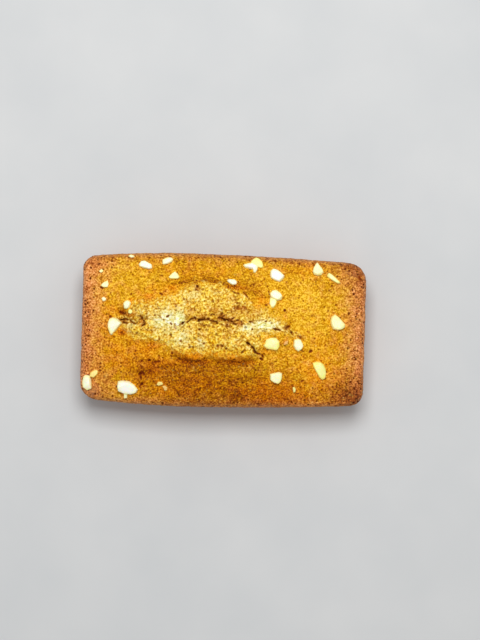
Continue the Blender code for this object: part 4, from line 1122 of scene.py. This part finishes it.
# %% Five kinds of crumb
YELLOW = ((0.34, "#a4690c"), (0.43, "#d49c20"), (0.5, "#ebc03c"), (0.58, "#f9da50"), (0.66, "#ffee84"))
BEIGE = ((0.34, "#a0621a"), (0.43, "#d09232"), (0.5, "#e6b44e"), (0.58, "#f4cc6c"), (0.66, "#ffe6a2"))
GOLDEN_CRUMB = ((0.34, "#ac6804"), (0.43, "#d6960c"), (0.5, "#eab218"), (0.58, "#f6cc2c"), (0.66, "#ffe260"))
WHITE = ((0.34, "#a89c50"), (0.43, "#d8ce70"), (0.5, "#ecea94"), (0.6, "#f6f9c2"), (0.72, "#fffff4"))
TOAST = ((0.34, "#702c04"), (0.48, "#b06214"), (0.66, "#e09a48"))
LUMP_GRAIN, LUMP_FLECKS = 0.63, ((3.0, 0.05),)  # mm
WHITE_LIFT = 0.08  # how far up its scale the whitest crumb is moved
DRIFT_SIZE, DRIFT_DETAIL = 1.9, 2.0  # mm, the broad drift from yellow to beige
DRIFT_RANGE, DRIFT_SHARE = (0.42, 0.68), (0.0, 0.75)
GOLDEN_FLECKS, WHITE_FLECKS, TOAST_FLECKS = ((1.3, 0.15),), ((CRUMB_SIZE, 0.25),), ((CRUMB_SIZE, 0.2),)
FRECKLE_SPACING, FRECKLE_REACH = 1.4, (-0.14, 0.26)  # mm
FRECKLE_PALE, FRECKLE_SHARE = (0.2, 0.9), (0.65, 0.45)  # the whiter the crumb, the fainter they are
FRECKLE_COLOURS = ("#94600c", "#948444")  # the second in the whitest crumb
# painted shade on the floors of broken bubbles: in plain crumb, in the whitest crumb; and its strength
BUBBLE_SHADE_COLOURS, BUBBLE_SHADE_SHARE = ("#7c420a", "#7c6630"), 0.75


def crumb_colour(tree, place, on):
    """The open crumb."""
    lumps = mottled(tree, grain(tree, place, LUMP_GRAIN), place, LUMP_FLECKS)
    lifted = add(tree, "ShaderNodeMath", [on["pale"], WHITE_LIFT, lumps], operation="MULTIPLY_ADD")
    yellow, beige, golden, toast = (
        add(tree, "ShaderNodeValToRGB", [lumps], stops=stops)
        for stops in (YELLOW, BEIGE, GOLDEN_CRUMB, TOAST))
    white = add(tree, "ShaderNodeValToRGB", [lifted], stops=WHITE)
    drift = grain(tree, place, DRIFT_SIZE, DRIFT_DETAIL)
    drift = add(tree, "ShaderNodeMapRange", [drift, *DRIFT_RANGE, *DRIFT_SHARE])
    fewer = add(tree, "ShaderNodeMapRange", [on["pale"], *FRECKLE_PALE, *FRECKLE_SHARE])
    freckle = spots(tree, place, FRECKLE_SPACING, FRECKLE_REACH)
    freckle = add(tree, "ShaderNodeMath", [freckle, fewer], operation="MULTIPLY")
    # painted shade in the broken bubbles
    bubble_shade = add(tree, "ShaderNodeMath", [bubbles(tree, place), BUBBLE_SHADE_SHARE], operation="MULTIPLY")
    freckle_colour, bubble_shade_colour = (
        layered(tree, linear(plain), [(on["pale"], linear(in_white))])
        for plain, in_white in (FRECKLE_COLOURS, BUBBLE_SHADE_COLOURS))
    return layered(tree, yellow, (
        (drift, beige), (mottled(tree, on["amber"], place, GOLDEN_FLECKS), golden),
        (mottled(tree, on["pale"], place, WHITE_FLECKS), white),
        (mottled(tree, on["toast"], place, TOAST_FLECKS), toast),
        (freckle, freckle_colour), (bubble_shade, bubble_shade_colour)))


print("the freckles are", round(2 * FRECKLE_SPACING * FRECKLE_REACH[1], 2), "mm wide at most")

# %% [markdown]
# ## The whole sponge
# Crust and crumb meet along a torn border, which the colour crosses more softly than the relief does, as a
# thin crust shows the crumb below it. The breaks are painted dark brown inside, as painted shade where light
# hardly reaches, with a paler painted brown where that shade fades out. Baked sponge is matt and porous, so
# light scatters in it with hardly a highlight. Butter gives the crust a faint sheen that the crumb lacks. A
# little bump adds the grain that is finer than the mesh.

# %% The sponge's material
BREAK_SHADE_EDGE_COLOURS = ("#8a3c08", "#9c5c18")  # painted shade fading out at a break's edge: in the crust, in the crumb
# painted shade deep in the breaks: in the crust, in the crumb
BREAK_SHADE_COLOURS = ("#4c1206", "#3e1a06")
BREAK_SHADE_EDGE, BREAK_SHADE_INSIDE = (0.1, 0.55), (0.42, 0.95)  # over this darkness of painted shade, each of the two comes in
COLOUR_FRAY_SIZE = 1.26  # mm
ROUGH = (0.62, 0.88)  # crust, crumb
ROUGH_FLECKS = ((GRAIN_SIZE, 0.05),)
BUMP, BUMP_DEPTH, BUMP_DETAIL = 0.45, 0.2, 2.0  # depth in mm
SHEEN = 0.04  # the specular level, where most things have 0.5


def bare_material(name):
    """A new material, and its tree with no node in it."""
    material = bpy.data.materials.new(name)
    material.use_nodes = True
    material.node_tree.nodes.clear()
    return material, material.node_tree


def sponge_material():
    """Baked almond sponge: matt, porous, with a faint sheen on the crust."""
    material, tree = bare_material("baked_almond_sponge")
    place = add(tree, "ShaderNodeAttribute", attribute_name="rest").outputs["Vector"]
    on = {name: add(tree, "ShaderNodeAttribute", attribute_name=name).outputs["Fac"] for name in NUMBERS}
    torn = frayed(tree, on["crumb"], place, CRUMB_SIZE)
    yellowed = frayed(tree, on["crumb"], place, COLOUR_FRAY_SIZE, SOFT)
    # painted shade in the breaks: a paler brown where it fades out, a dark brown deep inside
    shade_edge_colour, shade_inside_colour = (
        layered(tree, linear(in_crust), [(yellowed, linear(in_crumb))])
        for in_crust, in_crumb in (BREAK_SHADE_EDGE_COLOURS, BREAK_SHADE_COLOURS))
    edge, inside = (
        add(tree, "ShaderNodeMapRange", [on["gap"], *span, 0.0, 1.0]) for span in (BREAK_SHADE_EDGE, BREAK_SHADE_INSIDE))
    colour = layered(tree, crust_colour(tree, place, on), (
        (yellowed, crumb_colour(tree, place, on)), (edge, shade_edge_colour), (inside, shade_inside_colour)))
    rough = mottled(tree, add(tree, "ShaderNodeMapRange", [torn, 0.0, 1.0, *ROUGH]), place, ROUGH_FLECKS)
    bumps = add(tree, "ShaderNodeBump", {
        "Strength": BUMP, "Distance": BUMP_DEPTH * MM, "Height": grain(tree, place, GRAIN_SIZE, BUMP_DETAIL)})
    shader = add(tree, "ShaderNodeBsdfPrincipled", {
        "Base Color": colour, "Roughness": rough, "Normal": bumps, "Specular IOR Level": SHEEN})
    add(tree, "ShaderNodeOutputMaterial", {"Surface": shader})
    print(material.name, "has", len(tree.nodes), "nodes")
    return material


baked_sponge = sponge_material()
RELIEF["Skin"] = ("NodeSocketMaterial", baked_sponge)
grow(sponge, relief_tree(), RELIEF)

# %% [markdown]
# ## Loose crumbs
# Where the crust tore, small crumbs stand on the surface and catch the light. Placing hundreds by hand would
# take a day, and displacement alone can't make anything that overhangs. Geometry Nodes scatters them over the
# open crumb, never closer than a set distance, turns and sizes each one at random from a fixed seed, and
# pushes every point of them in or out so that no two are alike. Each crumb keeps the numbers of the skin
# below it, so it wears that colour.

# %% A tree that scatters crumbs
LOOSE = {
    "Least spacing": ("NodeSocketFloat", 1.1 * MM),
    "Most per area": ("NodeSocketFloat", 8e5),  # in a square metre, before they are thinned to that spacing
    "On crust": ("NodeSocketFloat", 0.03),  # the share of them that the crust has
    "Smallest": ("NodeSocketFloat", 0.16),  # radius in mm
    "Largest": ("NodeSocketFloat", 0.36),
    "Uneven": ("NodeSocketFloat", 0.48 * MM),  # times noise, which strays by less than half from its middle
    "Seed": ("NodeSocketInt", 3),
    "Skin": ("NodeSocketMaterial", baked_sponge),
}
OPEN_ENOUGH, SHUT = (0.45, 0.9), (0.1, 0.4)  # over this openness they come in, over this darkness of painted shade they go
ROUND = 2  # subdivisions of each, which are plenty at this size
UNEVEN_CRUMB_SIZE = 0.45  # mm
HALF = (0.5, 0.5, 0.5)  # the middle of noise


def crumbs_tree():
    tree = new_tree("loose_crumbs", LOOSE)
    entry = add(tree, "NodeGroupInput")
    sizes = entry.outputs
    place = add(tree, "GeometryNodeInputPosition")
    place = add(tree, "ShaderNodeVectorMath", [place, 1 / MM], operation="SCALE")
    crumb, gap = (add(tree, "GeometryNodeInputNamedAttribute", {"Name": name}, data_type="FLOAT")
                  for name in ("crumb", "gap"))
    chance = add(tree, "ShaderNodeMapRange", [crumb, *OPEN_ENOUGH, sizes["On crust"], 1.0])
    height = add(tree, "ShaderNodeSeparateXYZ", [place]).outputs["Z"]
    for share in (add(tree, "ShaderNodeMapRange", [gap, *SHUT, 1.0, 0.0]),
                  add(tree, "ShaderNodeMath", [height, WALL_TOP + RIM_RADIUS], operation="GREATER_THAN")):
        chance = add(tree, "ShaderNodeMath", [chance, share], operation="MULTIPLY")
    points = add(tree, "GeometryNodeDistributePointsOnFaces",
                 {"Mesh": sizes["Geometry"], "Distance Min": sizes["Least spacing"],
                  "Density Max": sizes["Most per area"], "Density Factor": chance, "Seed": sizes["Seed"]},
                 distribute_method="POISSON")
    shape = add(tree, "GeometryNodeMeshIcoSphere", {"Radius": MM, "Subdivisions": ROUND})
    turn = add(tree, "FunctionNodeRandomValue", {"Max": (math.tau,) * 3, "Seed": sizes["Seed"]},
               data_type="FLOAT_VECTOR")
    radius = add(tree, "FunctionNodeRandomValue", {
        "Min": sizes["Smallest"], "Max": sizes["Largest"], "Seed": sizes["Seed"]}, data_type="FLOAT")
    placed = add(tree, "GeometryNodeInstanceOnPoints", {
        "Points": points.outputs["Points"], "Instance": shape.outputs["Mesh"],
        "Rotation": turn, "Scale": radius})
    plain = add(tree, "GeometryNodeRealizeInstances", {"Geometry": placed})
    away = add(tree, "ShaderNodeTexNoise", {"Vector": place, "Scale": 1 / UNEVEN_CRUMB_SIZE, "Detail": 1.0})
    away = add(tree, "ShaderNodeVectorMath", [away.outputs["Color"], HALF], operation="SUBTRACT")
    away = add(tree, "ShaderNodeVectorMath", [away, sizes["Uneven"]], operation="SCALE")
    moved = add(tree, "GeometryNodeSetPosition", {"Geometry": plain, "Offset": away})
    kept = add(tree, "GeometryNodeStoreNamedAttribute", {
        "Geometry": moved, "Name": "rest", "Value": place}, data_type="FLOAT_VECTOR", domain="POINT")
    dressed = add(tree, "GeometryNodeSetMaterial", {"Geometry": kept, "Material": sizes["Skin"]})
    add(tree, "NodeGroupOutput", {"Geometry": dressed})
    return tree


crumbs = in_scene("loose_crumbs", sponge.data.copy())
grow(crumbs, crumbs_tree(), LOOSE)
crumbs.data.shade_smooth()

# %% [markdown]
# ## The almonds
# Blanched almonds, chopped: ivory, waxy, with broken corners that the knife left and the oven's heat dulled.
# They lie in the crust up to their waists. One chip scattered many times would look cast. So each has its own
# outline, and becomes a closed hull round three uneven layers of it, drawn from its own seed, so the many
# pieces are all different and stay the same from run to run.

# %% Where the almonds lie, and the outline of each from above
ALMONDS = (  # thickness, yellowness (above 1, roasted), then the corners (x, y) in order round the chip
    (2.7, 0.0, (-31.0, -15.9), (-29.4, -15.6), (-27.6, -15.8), (-26.0, -16.7), (-24.9, -18.1), (-25.4, -19.3),
     (-27.1, -19.7), (-28.8, -19.6), (-30.9, -18.9), (-31.2, -17.4)),
    (2.0, 0.3, (-41.6, -15.1), (-40.9, -14.3), (-39.7, -14.4), (-39.2, -15.4), (-39.0, -17.0), (-38.9, -18.4),
     (-40.1, -18.9), (-41.2, -18.2), (-41.7, -16.6)),
    (1.5, 1.2, (-39.5, -14.8), (-39.3, -13.6), (-38.4, -12.9), (-37.5, -12.6), (-36.9, -13.1), (-37.2, -14.1),
     (-38.3, -15.1)),
    (2.4, 0.35, (-34.0, 2.7), (-33.0, 3.1), (-31.6, 2.8), (-30.1, 1.5), (-31.1, 0.4), (-32.0, -0.8),
     (-33.0, -2.1), (-33.6, -2.0), (-34.2, -0.2), (-34.5, 1.2)),
    (1.2, 0.6, (-37.0, 12.5), (-36.0, 13.6), (-34.8, 14.1), (-34.5, 12.9), (-34.9, 12.0), (-36.1, 12.0)),
    (1.6, 0.35, (-29.9, 7.4), (-29.1, 8.2), (-28.1, 8.3), (-27.6, 7.5), (-28.1, 6.2), (-28.7, 5.7),
     (-29.6, 5.8)),
    (1.8, 0.15, (-25.9, 19.2), (-25.1, 20.1), (-24.1, 20.3), (-22.9, 19.7), (-21.8, 19.1), (-21.7, 18.0),
     (-22.6, 17.7), (-24.2, 18.1), (-25.5, 18.5)),
    (1.4, 0.35, (-18.8, 20.7), (-17.4, 21.3), (-16.3, 21.6), (-15.5, 21.1), (-15.9, 20.2), (-17.2, 19.5),
     (-18.6, 19.2)),
    (1.3, 0.75, (-16.8, 15.6), (-15.9, 16.6), (-14.9, 17.4), (-14.1, 16.8), (-13.4, 15.7), (-14.0, 15.1),
     (-16.3, 15.1)),
    (1.2, 0.3, (0.6, 15.1), (1.6, 15.5), (3.1, 15.5), (3.8, 14.8), (3.5, 13.9), (2.3, 13.8), (1.2, 14.4)),
    (1.5, 1.0, (7.5, 20.7), (8.1, 21.9), (9.2, 22.4), (10.3, 21.9), (11.1, 20.8), (11.5, 19.1), (10.6, 18.7),
     (9.6, 19.4)),
    (1.9, 0.1, (5.3, 19.7), (6.5, 20.2), (8.1, 20.6), (9.5, 20.3), (9.9, 19.3), (9.4, 18.6), (7.8, 18.7),
     (5.9, 19.1)),
    (1.6, 0.5, (8.3, 19.3), (9.7, 19.4), (9.7, 18.6), (9.2, 17.7), (8.5, 17.6)),
    (2.3, 0.05, (13.6, 18.3), (14.3, 19.0), (15.6, 18.9), (16.8, 17.9), (17.8, 16.8), (17.3, 15.8),
     (16.3, 15.1), (14.9, 15.5), (13.8, 16.1), (13.5, 17.1)),
    (2.0, 0.5, (27.4, 21.4), (28.2, 20.7), (29.0, 19.5), (29.5, 18.4), (28.8, 17.5), (27.7, 17.2),
     (26.6, 17.6), (26.2, 18.5), (26.5, 19.8)),
    (1.3, 0.8, (30.9, 18.3), (31.9, 18.0), (32.9, 17.0), (34.0, 16.1), (34.7, 15.3), (33.8, 15.1),
     (32.5, 15.8), (31.1, 16.7), (30.4, 17.4)),
    (2.1, 0.45, (13.5, 11.5), (14.3, 12.5), (15.4, 12.7), (16.7, 11.9), (17.4, 10.8), (17.0, 9.8),
     (15.9, 9.5), (13.9, 10.4)),
    (1.6, 0.75, (13.7, 10.4), (15.3, 10.4), (15.8, 9.2), (15.3, 8.0), (14.7, 7.2), (13.9, 7.3), (13.5, 8.5)),
    (2.2, 0.6, (32.1, 5.2), (33.1, 5.9), (34.1, 5.4), (35.2, 4.2), (36.4, 3.1), (36.3, 2.2), (35.5, 1.5),
     (34.1, 1.2), (32.7, 1.5), (32.1, 2.6), (31.8, 3.9)),
    (2.3, 0.85, (12.8, -1.9), (14.3, -1.4), (15.8, -1.5), (16.8, -2.5), (17.0, -3.6), (16.5, -4.8),
     (15.9, -5.3), (14.5, -4.9), (12.8, -4.7), (12.0, -3.9)),
    (2.0, 0.4, (21.1, -2.0), (22.2, -1.5), (23.2, -1.9), (23.8, -3.0), (24.0, -3.9), (23.4, -4.8),
     (22.5, -5.4), (21.6, -4.8), (21.0, -3.8)),
    (2.1, 1.0, (26.8, -8.6), (28.0, -8.2), (29.3, -8.3), (30.3, -9.1), (30.9, -10.3), (31.2, -11.8),
     (30.9, -13.2), (30.0, -13.7), (29.1, -13.0), (28.2, -11.5), (27.2, -10.0)),
    (2.0, 0.45, (14.3, -12.2), (15.7, -12.0), (17.0, -11.5), (17.9, -12.0), (18.0, -13.3), (17.6, -14.5),
     (16.8, -15.2), (15.5, -14.9), (14.4, -14.1)),
    (1.1, 0.5, (-36.6, 8.7), (-36.0, 9.2), (-35.2, 8.8), (-35.2, 8.1), (-36.0, 7.8)),
    (0.9, 0.6, (-29.1, 21.6), (-28.1, 22.0), (-27.0, 21.5), (-28.0, 21.0)),
    (1.0, 1.25, (-19.4, -16.5), (-18.9, -15.6), (-17.7, -15.6), (-17.3, -16.3), (-18.0, -16.7),
     (-18.9, -16.8)),
    (0.9, 1.4, (-17.6, -16.9), (-16.9, -16.7), (-16.1, -17.2), (-16.2, -18.1), (-16.9, -18.3)),
    (0.9, 1.1, (21.2, -16.2), (21.7, -15.9), (22.2, -16.6), (22.1, -17.5), (21.5, -17.8)),
    (1.0, 1.0, (-28.4, 5.3), (-28.0, 5.8), (-27.3, 5.5), (-27.0, 4.8), (-27.5, 4.3), (-28.2, 4.5)),
    (1.0, 0.6, (-29.1, -19.6), (-28.1, -19.6), (-28.1, -20.9), (-29.0, -21.0)),
    (0.8, 1.5, (18.0, -3.6), (18.4, -2.5), (19.4, -2.2), (19.3, -3.3)),
    (0.9, 0.8, (-37.7, 16.8), (-36.9, 17.5), (-36.2, 16.9), (-37.0, 16.3)),
)
CHIP_LAYERS = ((-0.5, 0.75), (0.0, 1.0), (0.38, 0.87))  # height in thicknesses, share of the outline
CHIP_PROUD, CHIP_PROUD_LEAST = 0.12, 0.4  # of the thickness, and in mm: from the crust up to the middle
CHIP_UNEVEN = 0.16  # of the thickness, that a corner lies too high or too low
CHIP_SPREAD = 0.05  # mm, that the corners lie outside the line round the middle of the rim
SEED = 11  # of the first chip, and each has the next
print(len(ALMONDS), "pieces of almond")

# %% [markdown]
# ## Laying the chips in the crust
# A chip pressed into batter lies along the surface, so each is tilted to the slope under it, which is
# measured between two points as far apart as the chip is long. All hulls go into one mesh. A voxel remesh
# then rounds every sharp edge at once and joins chips that touch, where a bevel would trip over the hulls'
# slivers.

# %% Chips, rounded together
VOXEL = 0.13  # mm
SOFTEN, SOFTEN_BY = 1, 0.5  # passes that round the corners, and how far each goes


def chip_plan(corners):
    """(middle of the outline, its corners from there)."""
    middle = sum((Vector(c) for c in corners), Vector((0, 0))) / len(corners)
    return middle, [(Vector(c) - middle) * (1 + CHIP_SPREAD / (Vector(c) - middle).length) for c in corners]


def chip_tilt(middle, reach):
    """The turn that lays a chip along the crust."""
    x, y = middle
    slope_x = (rim_height(x + reach, y) - rim_height(x - reach, y)) / (2 * reach)
    slope_y = (rim_height(x, y + reach) - rim_height(x, y - reach)) / (2 * reach)
    tilt = Vector((0, 0, 1)).rotation_difference(Vector((-slope_x, -slope_y, 1)))
    return tilt.to_matrix().to_4x4()


def almond_chip(bm, seed, thick, corners):
    """Adds one chip to the mesh, where it lies."""
    draw = random.Random(seed)
    middle, outline = chip_plan(corners)
    verts = []
    for height, share in CHIP_LAYERS:
        for corner in outline:
            up = thick * (height + draw.uniform(-CHIP_UNEVEN, CHIP_UNEVEN))
            verts.append(bm.verts.new((*(corner * share), up)))
    bmesh.ops.convex_hull(bm, input=verts)
    at = Vector((*middle, rim_height(*middle) + max(CHIP_PROUD * thick, CHIP_PROUD_LEAST)))
    matrix = Matrix.Translation(at) @ chip_tilt(middle, max(c.length for c in outline))
    kept = [v for v in verts if v.is_valid]
    bmesh.ops.transform(bm, matrix=matrix, verts=kept)
    bmesh.ops.scale(bm, vec=(MM, MM, MM), verts=kept)


def almond_pieces():
    bm = bmesh.new()
    for number, (thick, _, *corners) in enumerate(ALMONDS):
        almond_chip(bm, SEED + number, thick, corners)
    bmesh.ops.delete(bm, geom=[v for v in bm.verts if not v.link_faces], context="VERTS")
    bmesh.ops.recalc_face_normals(bm, faces=bm.faces)
    made = in_scene("almonds", mesh_of(bm, "almonds"))
    remesh = made.modifiers.new("rounded", "REMESH")
    remesh.mode = "VOXEL"
    remesh.voxel_size = VOXEL * MM
    remesh.use_smooth_shade = True
    soften = made.modifiers.new("softened", "SMOOTH")
    soften.factor, soften.iterations = SOFTEN_BY, SOFTEN
    settle(made)
    return made


almonds = almond_pieces()
print("the almonds have", triangles(almonds), "triangles")

# %% [markdown]
# ## The almonds' colour
# Nut flesh is pale ivory and a little waxy. Round their rims the chips are painted yellow: painted light, for
# the warm glow of light coming through their thin edges into their shaded sides. That depends on how far a
# point lies from the middle of its own chip, which no texture knows, so each vertex is given that distance as
# a number.


# %% How near each point is to the rim of its chip
NEAR_CHIP = 1.3  # in half lengths of a chip: a vertex further from its middle isn't its own


def share_out(here, outline):
    """0 in the middle of an outline round the origin, 1 on it."""
    best = 0.0
    for a, b in zip(outline, outline[1:] + outline[:1]):
        along = (b - a).normalized()
        out = Vector((along.y, -along.x))
        best = max(best, out.dot(here) / out.dot(a))
    return best


def mark_chips(made):
    """Gives each vertex its chip's yellowness, and how near it is to that chip's rim."""
    chips = []
    for _, tint, *corners in ALMONDS:
        middle, outline = chip_plan(corners)
        chips.append((middle, outline, max(c.length for c in outline), tint))
    rims = made.data.attributes.new("rim", "FLOAT", "POINT")
    tints = made.data.attributes.new("tint", "FLOAT", "POINT")
    for vert in made.data.vertices:
        at = vert.co.xy / MM
        near = [(share_out(at - middle, outline), tint)
                for middle, outline, reach, tint in chips if (at - middle).length < NEAR_CHIP * reach]
        rims.data[vert.index].value, tints.data[vert.index].value = min(near)
    print(len(chips), "chips marked on", len(made.data.vertices), "vertices")


mark_chips(almonds)

# %% [markdown]
# ## Blanched almond
# Chopped almond is dense and faintly waxy, with a fine grain where it broke. Light enters it a little way and
# leaves again beside where it went in, so that its shaded sides stay warm: that is subsurface scattering,
# over about a millimetre. The few thin flakes roasted through.

# %% The almonds' material
# both scales run from a chip's middle (0) to its rim (1); the yellow towards the rim is painted light
IVORY = ((0.0, "#fffff2"), (0.3, "#fffee6"), (0.55, "#fffbd2"), (0.85, "#fff0a8"), (1.0, "#f9dc84"))
BUTTERED = ((0.0, "#fffba2"), (0.3, "#fff998"), (0.55, "#fff07e"), (0.85, "#fcd862"), (1.0, "#f0b446"))
ROASTED = "#e8a050"
RIM_GLOW_SPAN, ROASTS = (0.45, 1.15), (1.0, 1.6)  # from the middle outwards the painted glow comes in; this yellowness is roasted
RIM_GLOW_FLECKS, TINT_FLECKS, WAX_FLECKS = ((0.9, 0.16),), ((1.6, 0.15),), ((0.6, 0.06),)
WAX_ROUGH = 0.5
BROKEN, BROKEN_DEPTH, BROKEN_SIZE = 0.4, 0.08, 0.4  # bump, its depth in mm and its grain in mm
GLOW, GLOW_DEPTH, GLOW_REACH = 0.4, 1.2, (1.0, 0.7, 0.4)  # share, mm, and how much further red goes than blue


def almond_material():
    """Blanched almond, chopped: ivory, faintly waxy, with light a little way inside it, and painted light
    round the rims.
    """
    material, tree = bare_material("blanched_almond")
    place = add(tree, "ShaderNodeTexCoord").outputs["Object"]
    place = add(tree, "ShaderNodeVectorMath", [place, 1 / MM], operation="SCALE")
    rim, tint = (
        add(tree, "ShaderNodeAttribute", attribute_name=name).outputs["Fac"] for name in ("rim", "tint"))
    # painted light: yellow towards the rim of each chip
    rim_glow = mottled(tree, add(tree, "ShaderNodeMapRange", [rim, *RIM_GLOW_SPAN, 0.0, 1.0]), place, RIM_GLOW_FLECKS)
    ivory, buttered = (add(tree, "ShaderNodeValToRGB", [rim_glow], stops=stops) for stops in (IVORY, BUTTERED))
    colour = layered(tree, ivory, (
        (mottled(tree, tint, place, TINT_FLECKS), buttered),
        (add(tree, "ShaderNodeMapRange", [tint, *ROASTS, 0.0, 1.0]), linear(ROASTED))))
    bumps = add(tree, "ShaderNodeBump", {
        "Strength": BROKEN, "Distance": BROKEN_DEPTH * MM, "Height": grain(tree, place, BROKEN_SIZE)})
    shader = add(tree, "ShaderNodeBsdfPrincipled", {
        "Base Color": colour, "Roughness": mottled(tree, WAX_ROUGH, place, WAX_FLECKS), "Normal": bumps,
        "Subsurface Weight": GLOW, "Subsurface Radius": GLOW_REACH, "Subsurface Scale": GLOW_DEPTH * MM})
    add(tree, "ShaderNodeOutputMaterial", {"Surface": shader})
    print(material.name, "has", len(tree.nodes), "nodes")
    return material


almonds.data.materials.append(almond_material())

# %% [markdown]
# ## Floor
# The floor only has to catch a soft shadow, so it is one square, far larger than the picture. Matt paint has
# no highlight to draw the eye, and faint clouds in its colour keep it from looking like empty paper.

# %% The floor
FLOOR_SIZE = 1.2  # m
FLOOR_COLOURS = ((0.3, "#c9cbcc"), (0.7, "#d0d1d1"))
CLOUDS, CLOUD_DETAIL = 30.0, 3.0  # in a metre
MATT = 0.8


def floor_piece():
    bm = bmesh.new()
    bmesh.ops.create_grid(bm, x_segments=1, y_segments=1, size=FLOOR_SIZE / 2)
    made = in_scene("floor", mesh_of(bm, "floor"))
    material, tree = bare_material("matt_paint")
    place = add(tree, "ShaderNodeTexCoord").outputs["Object"]
    clouds = add(tree, "ShaderNodeTexNoise", {"Vector": place, "Scale": CLOUDS, "Detail": CLOUD_DETAIL})
    colour = add(tree, "ShaderNodeValToRGB", [clouds], stops=FLOOR_COLOURS)
    shader = add(tree, "ShaderNodeBsdfPrincipled", {"Base Color": colour, "Roughness": MATT})
    add(tree, "ShaderNodeOutputMaterial", {"Surface": shader})
    made.data.materials.append(material)
    return made


floor = floor_piece()
print("the floor is", FLOOR_SIZE, "m wide")

# %% [markdown]
# ## Light
# The cake is lit from a large soft source beyond its far side, high up. The shadows have soft edges and
# aren't deep, as the rest of the room gives light back. One area light and a pale sky do both. The Standard
# view shows colours as they are, where the default one would soften the crust's yellow.

# %% One lamp and a pale sky
KEY_PLACE = Vector((0.0, 0.19, 0.54))  # m
KEY_SIZE = 0.25  # m
KEY_POWER = 2.3  # W
SKY = 0.45  # the sky's strength

key = bpy.data.lights.new("window", "AREA")
key.size, key.energy = KEY_SIZE, KEY_POWER
lamp = in_scene("window", key)
lamp.location = KEY_PLACE
lamp.rotation_euler = (-KEY_PLACE).to_track_quat("-Z", "Y").to_euler()
sky = bpy.data.worlds.new("pale_sky")
sky.use_nodes = True
sky.node_tree.nodes["Background"].inputs["Color"].default_value = linear("#ffffff")
sky.node_tree.nodes["Background"].inputs["Strength"].default_value = SKY
bpy.context.scene.world = sky
bpy.context.scene.view_settings.view_transform = "Standard"
print("the lamp stands", round(math.degrees(math.atan2(KEY_PLACE.z, KEY_PLACE.y))), "degrees above the floor")

# %% [markdown]
# ## Camera
# The cake is seen straight from above, so its plan shows without perspective on the sides. The picture's
# height is matched in the plane of the rim: the lens follows from how far away the camera is and how much it
# shows there.

# %% Straight above
AIM = (4.94, 3.45)  # mm, what lies in the middle of the picture
TURN = math.radians(1.7)  # of the camera, anticlockwise
AWAY = 700.0  # mm above the rim
TALL = 192.2  # mm of the rim's plane that the picture's long side shows
SENSOR = 36.0  # mm

lens = bpy.data.cameras.new("camera")
lens.sensor_fit, lens.sensor_height, lens.sensor_width = "VERTICAL", SENSOR, SENSOR
lens.lens = SENSOR * AWAY / TALL
eye = in_scene("camera", lens)
eye.location = Vector((*AIM, WALL_TOP + AWAY)) * MM
eye.rotation_euler = (0, 0, TURN)
bpy.context.scene.camera = eye
print("the lens is", round(lens.lens, 1), "mm")

# %% [markdown]
# ## Handing over
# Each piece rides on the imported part's only body and stands for its solid, which stays for collisions. All
# three together replace one solid, because crumb, crust and almonds were baked into one thing.

# %% Pieces on the frame
for piece in (sponge, crumbs, almonds):
    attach(piece, "root")
    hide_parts(CAKE)
floor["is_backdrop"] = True
print("on the frame:", [piece.name for piece in (sponge, crumbs, almonds)])

# %% How big it came out, beside the solid
bpy.context.view_layer.update()
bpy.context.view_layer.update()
for axis, low, high, cad_low, cad_high in zip("xyz", *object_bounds(), *cad_box):
    print(axis, [round(v / MM, 2) for v in (low, high, cad_low, cad_high)])
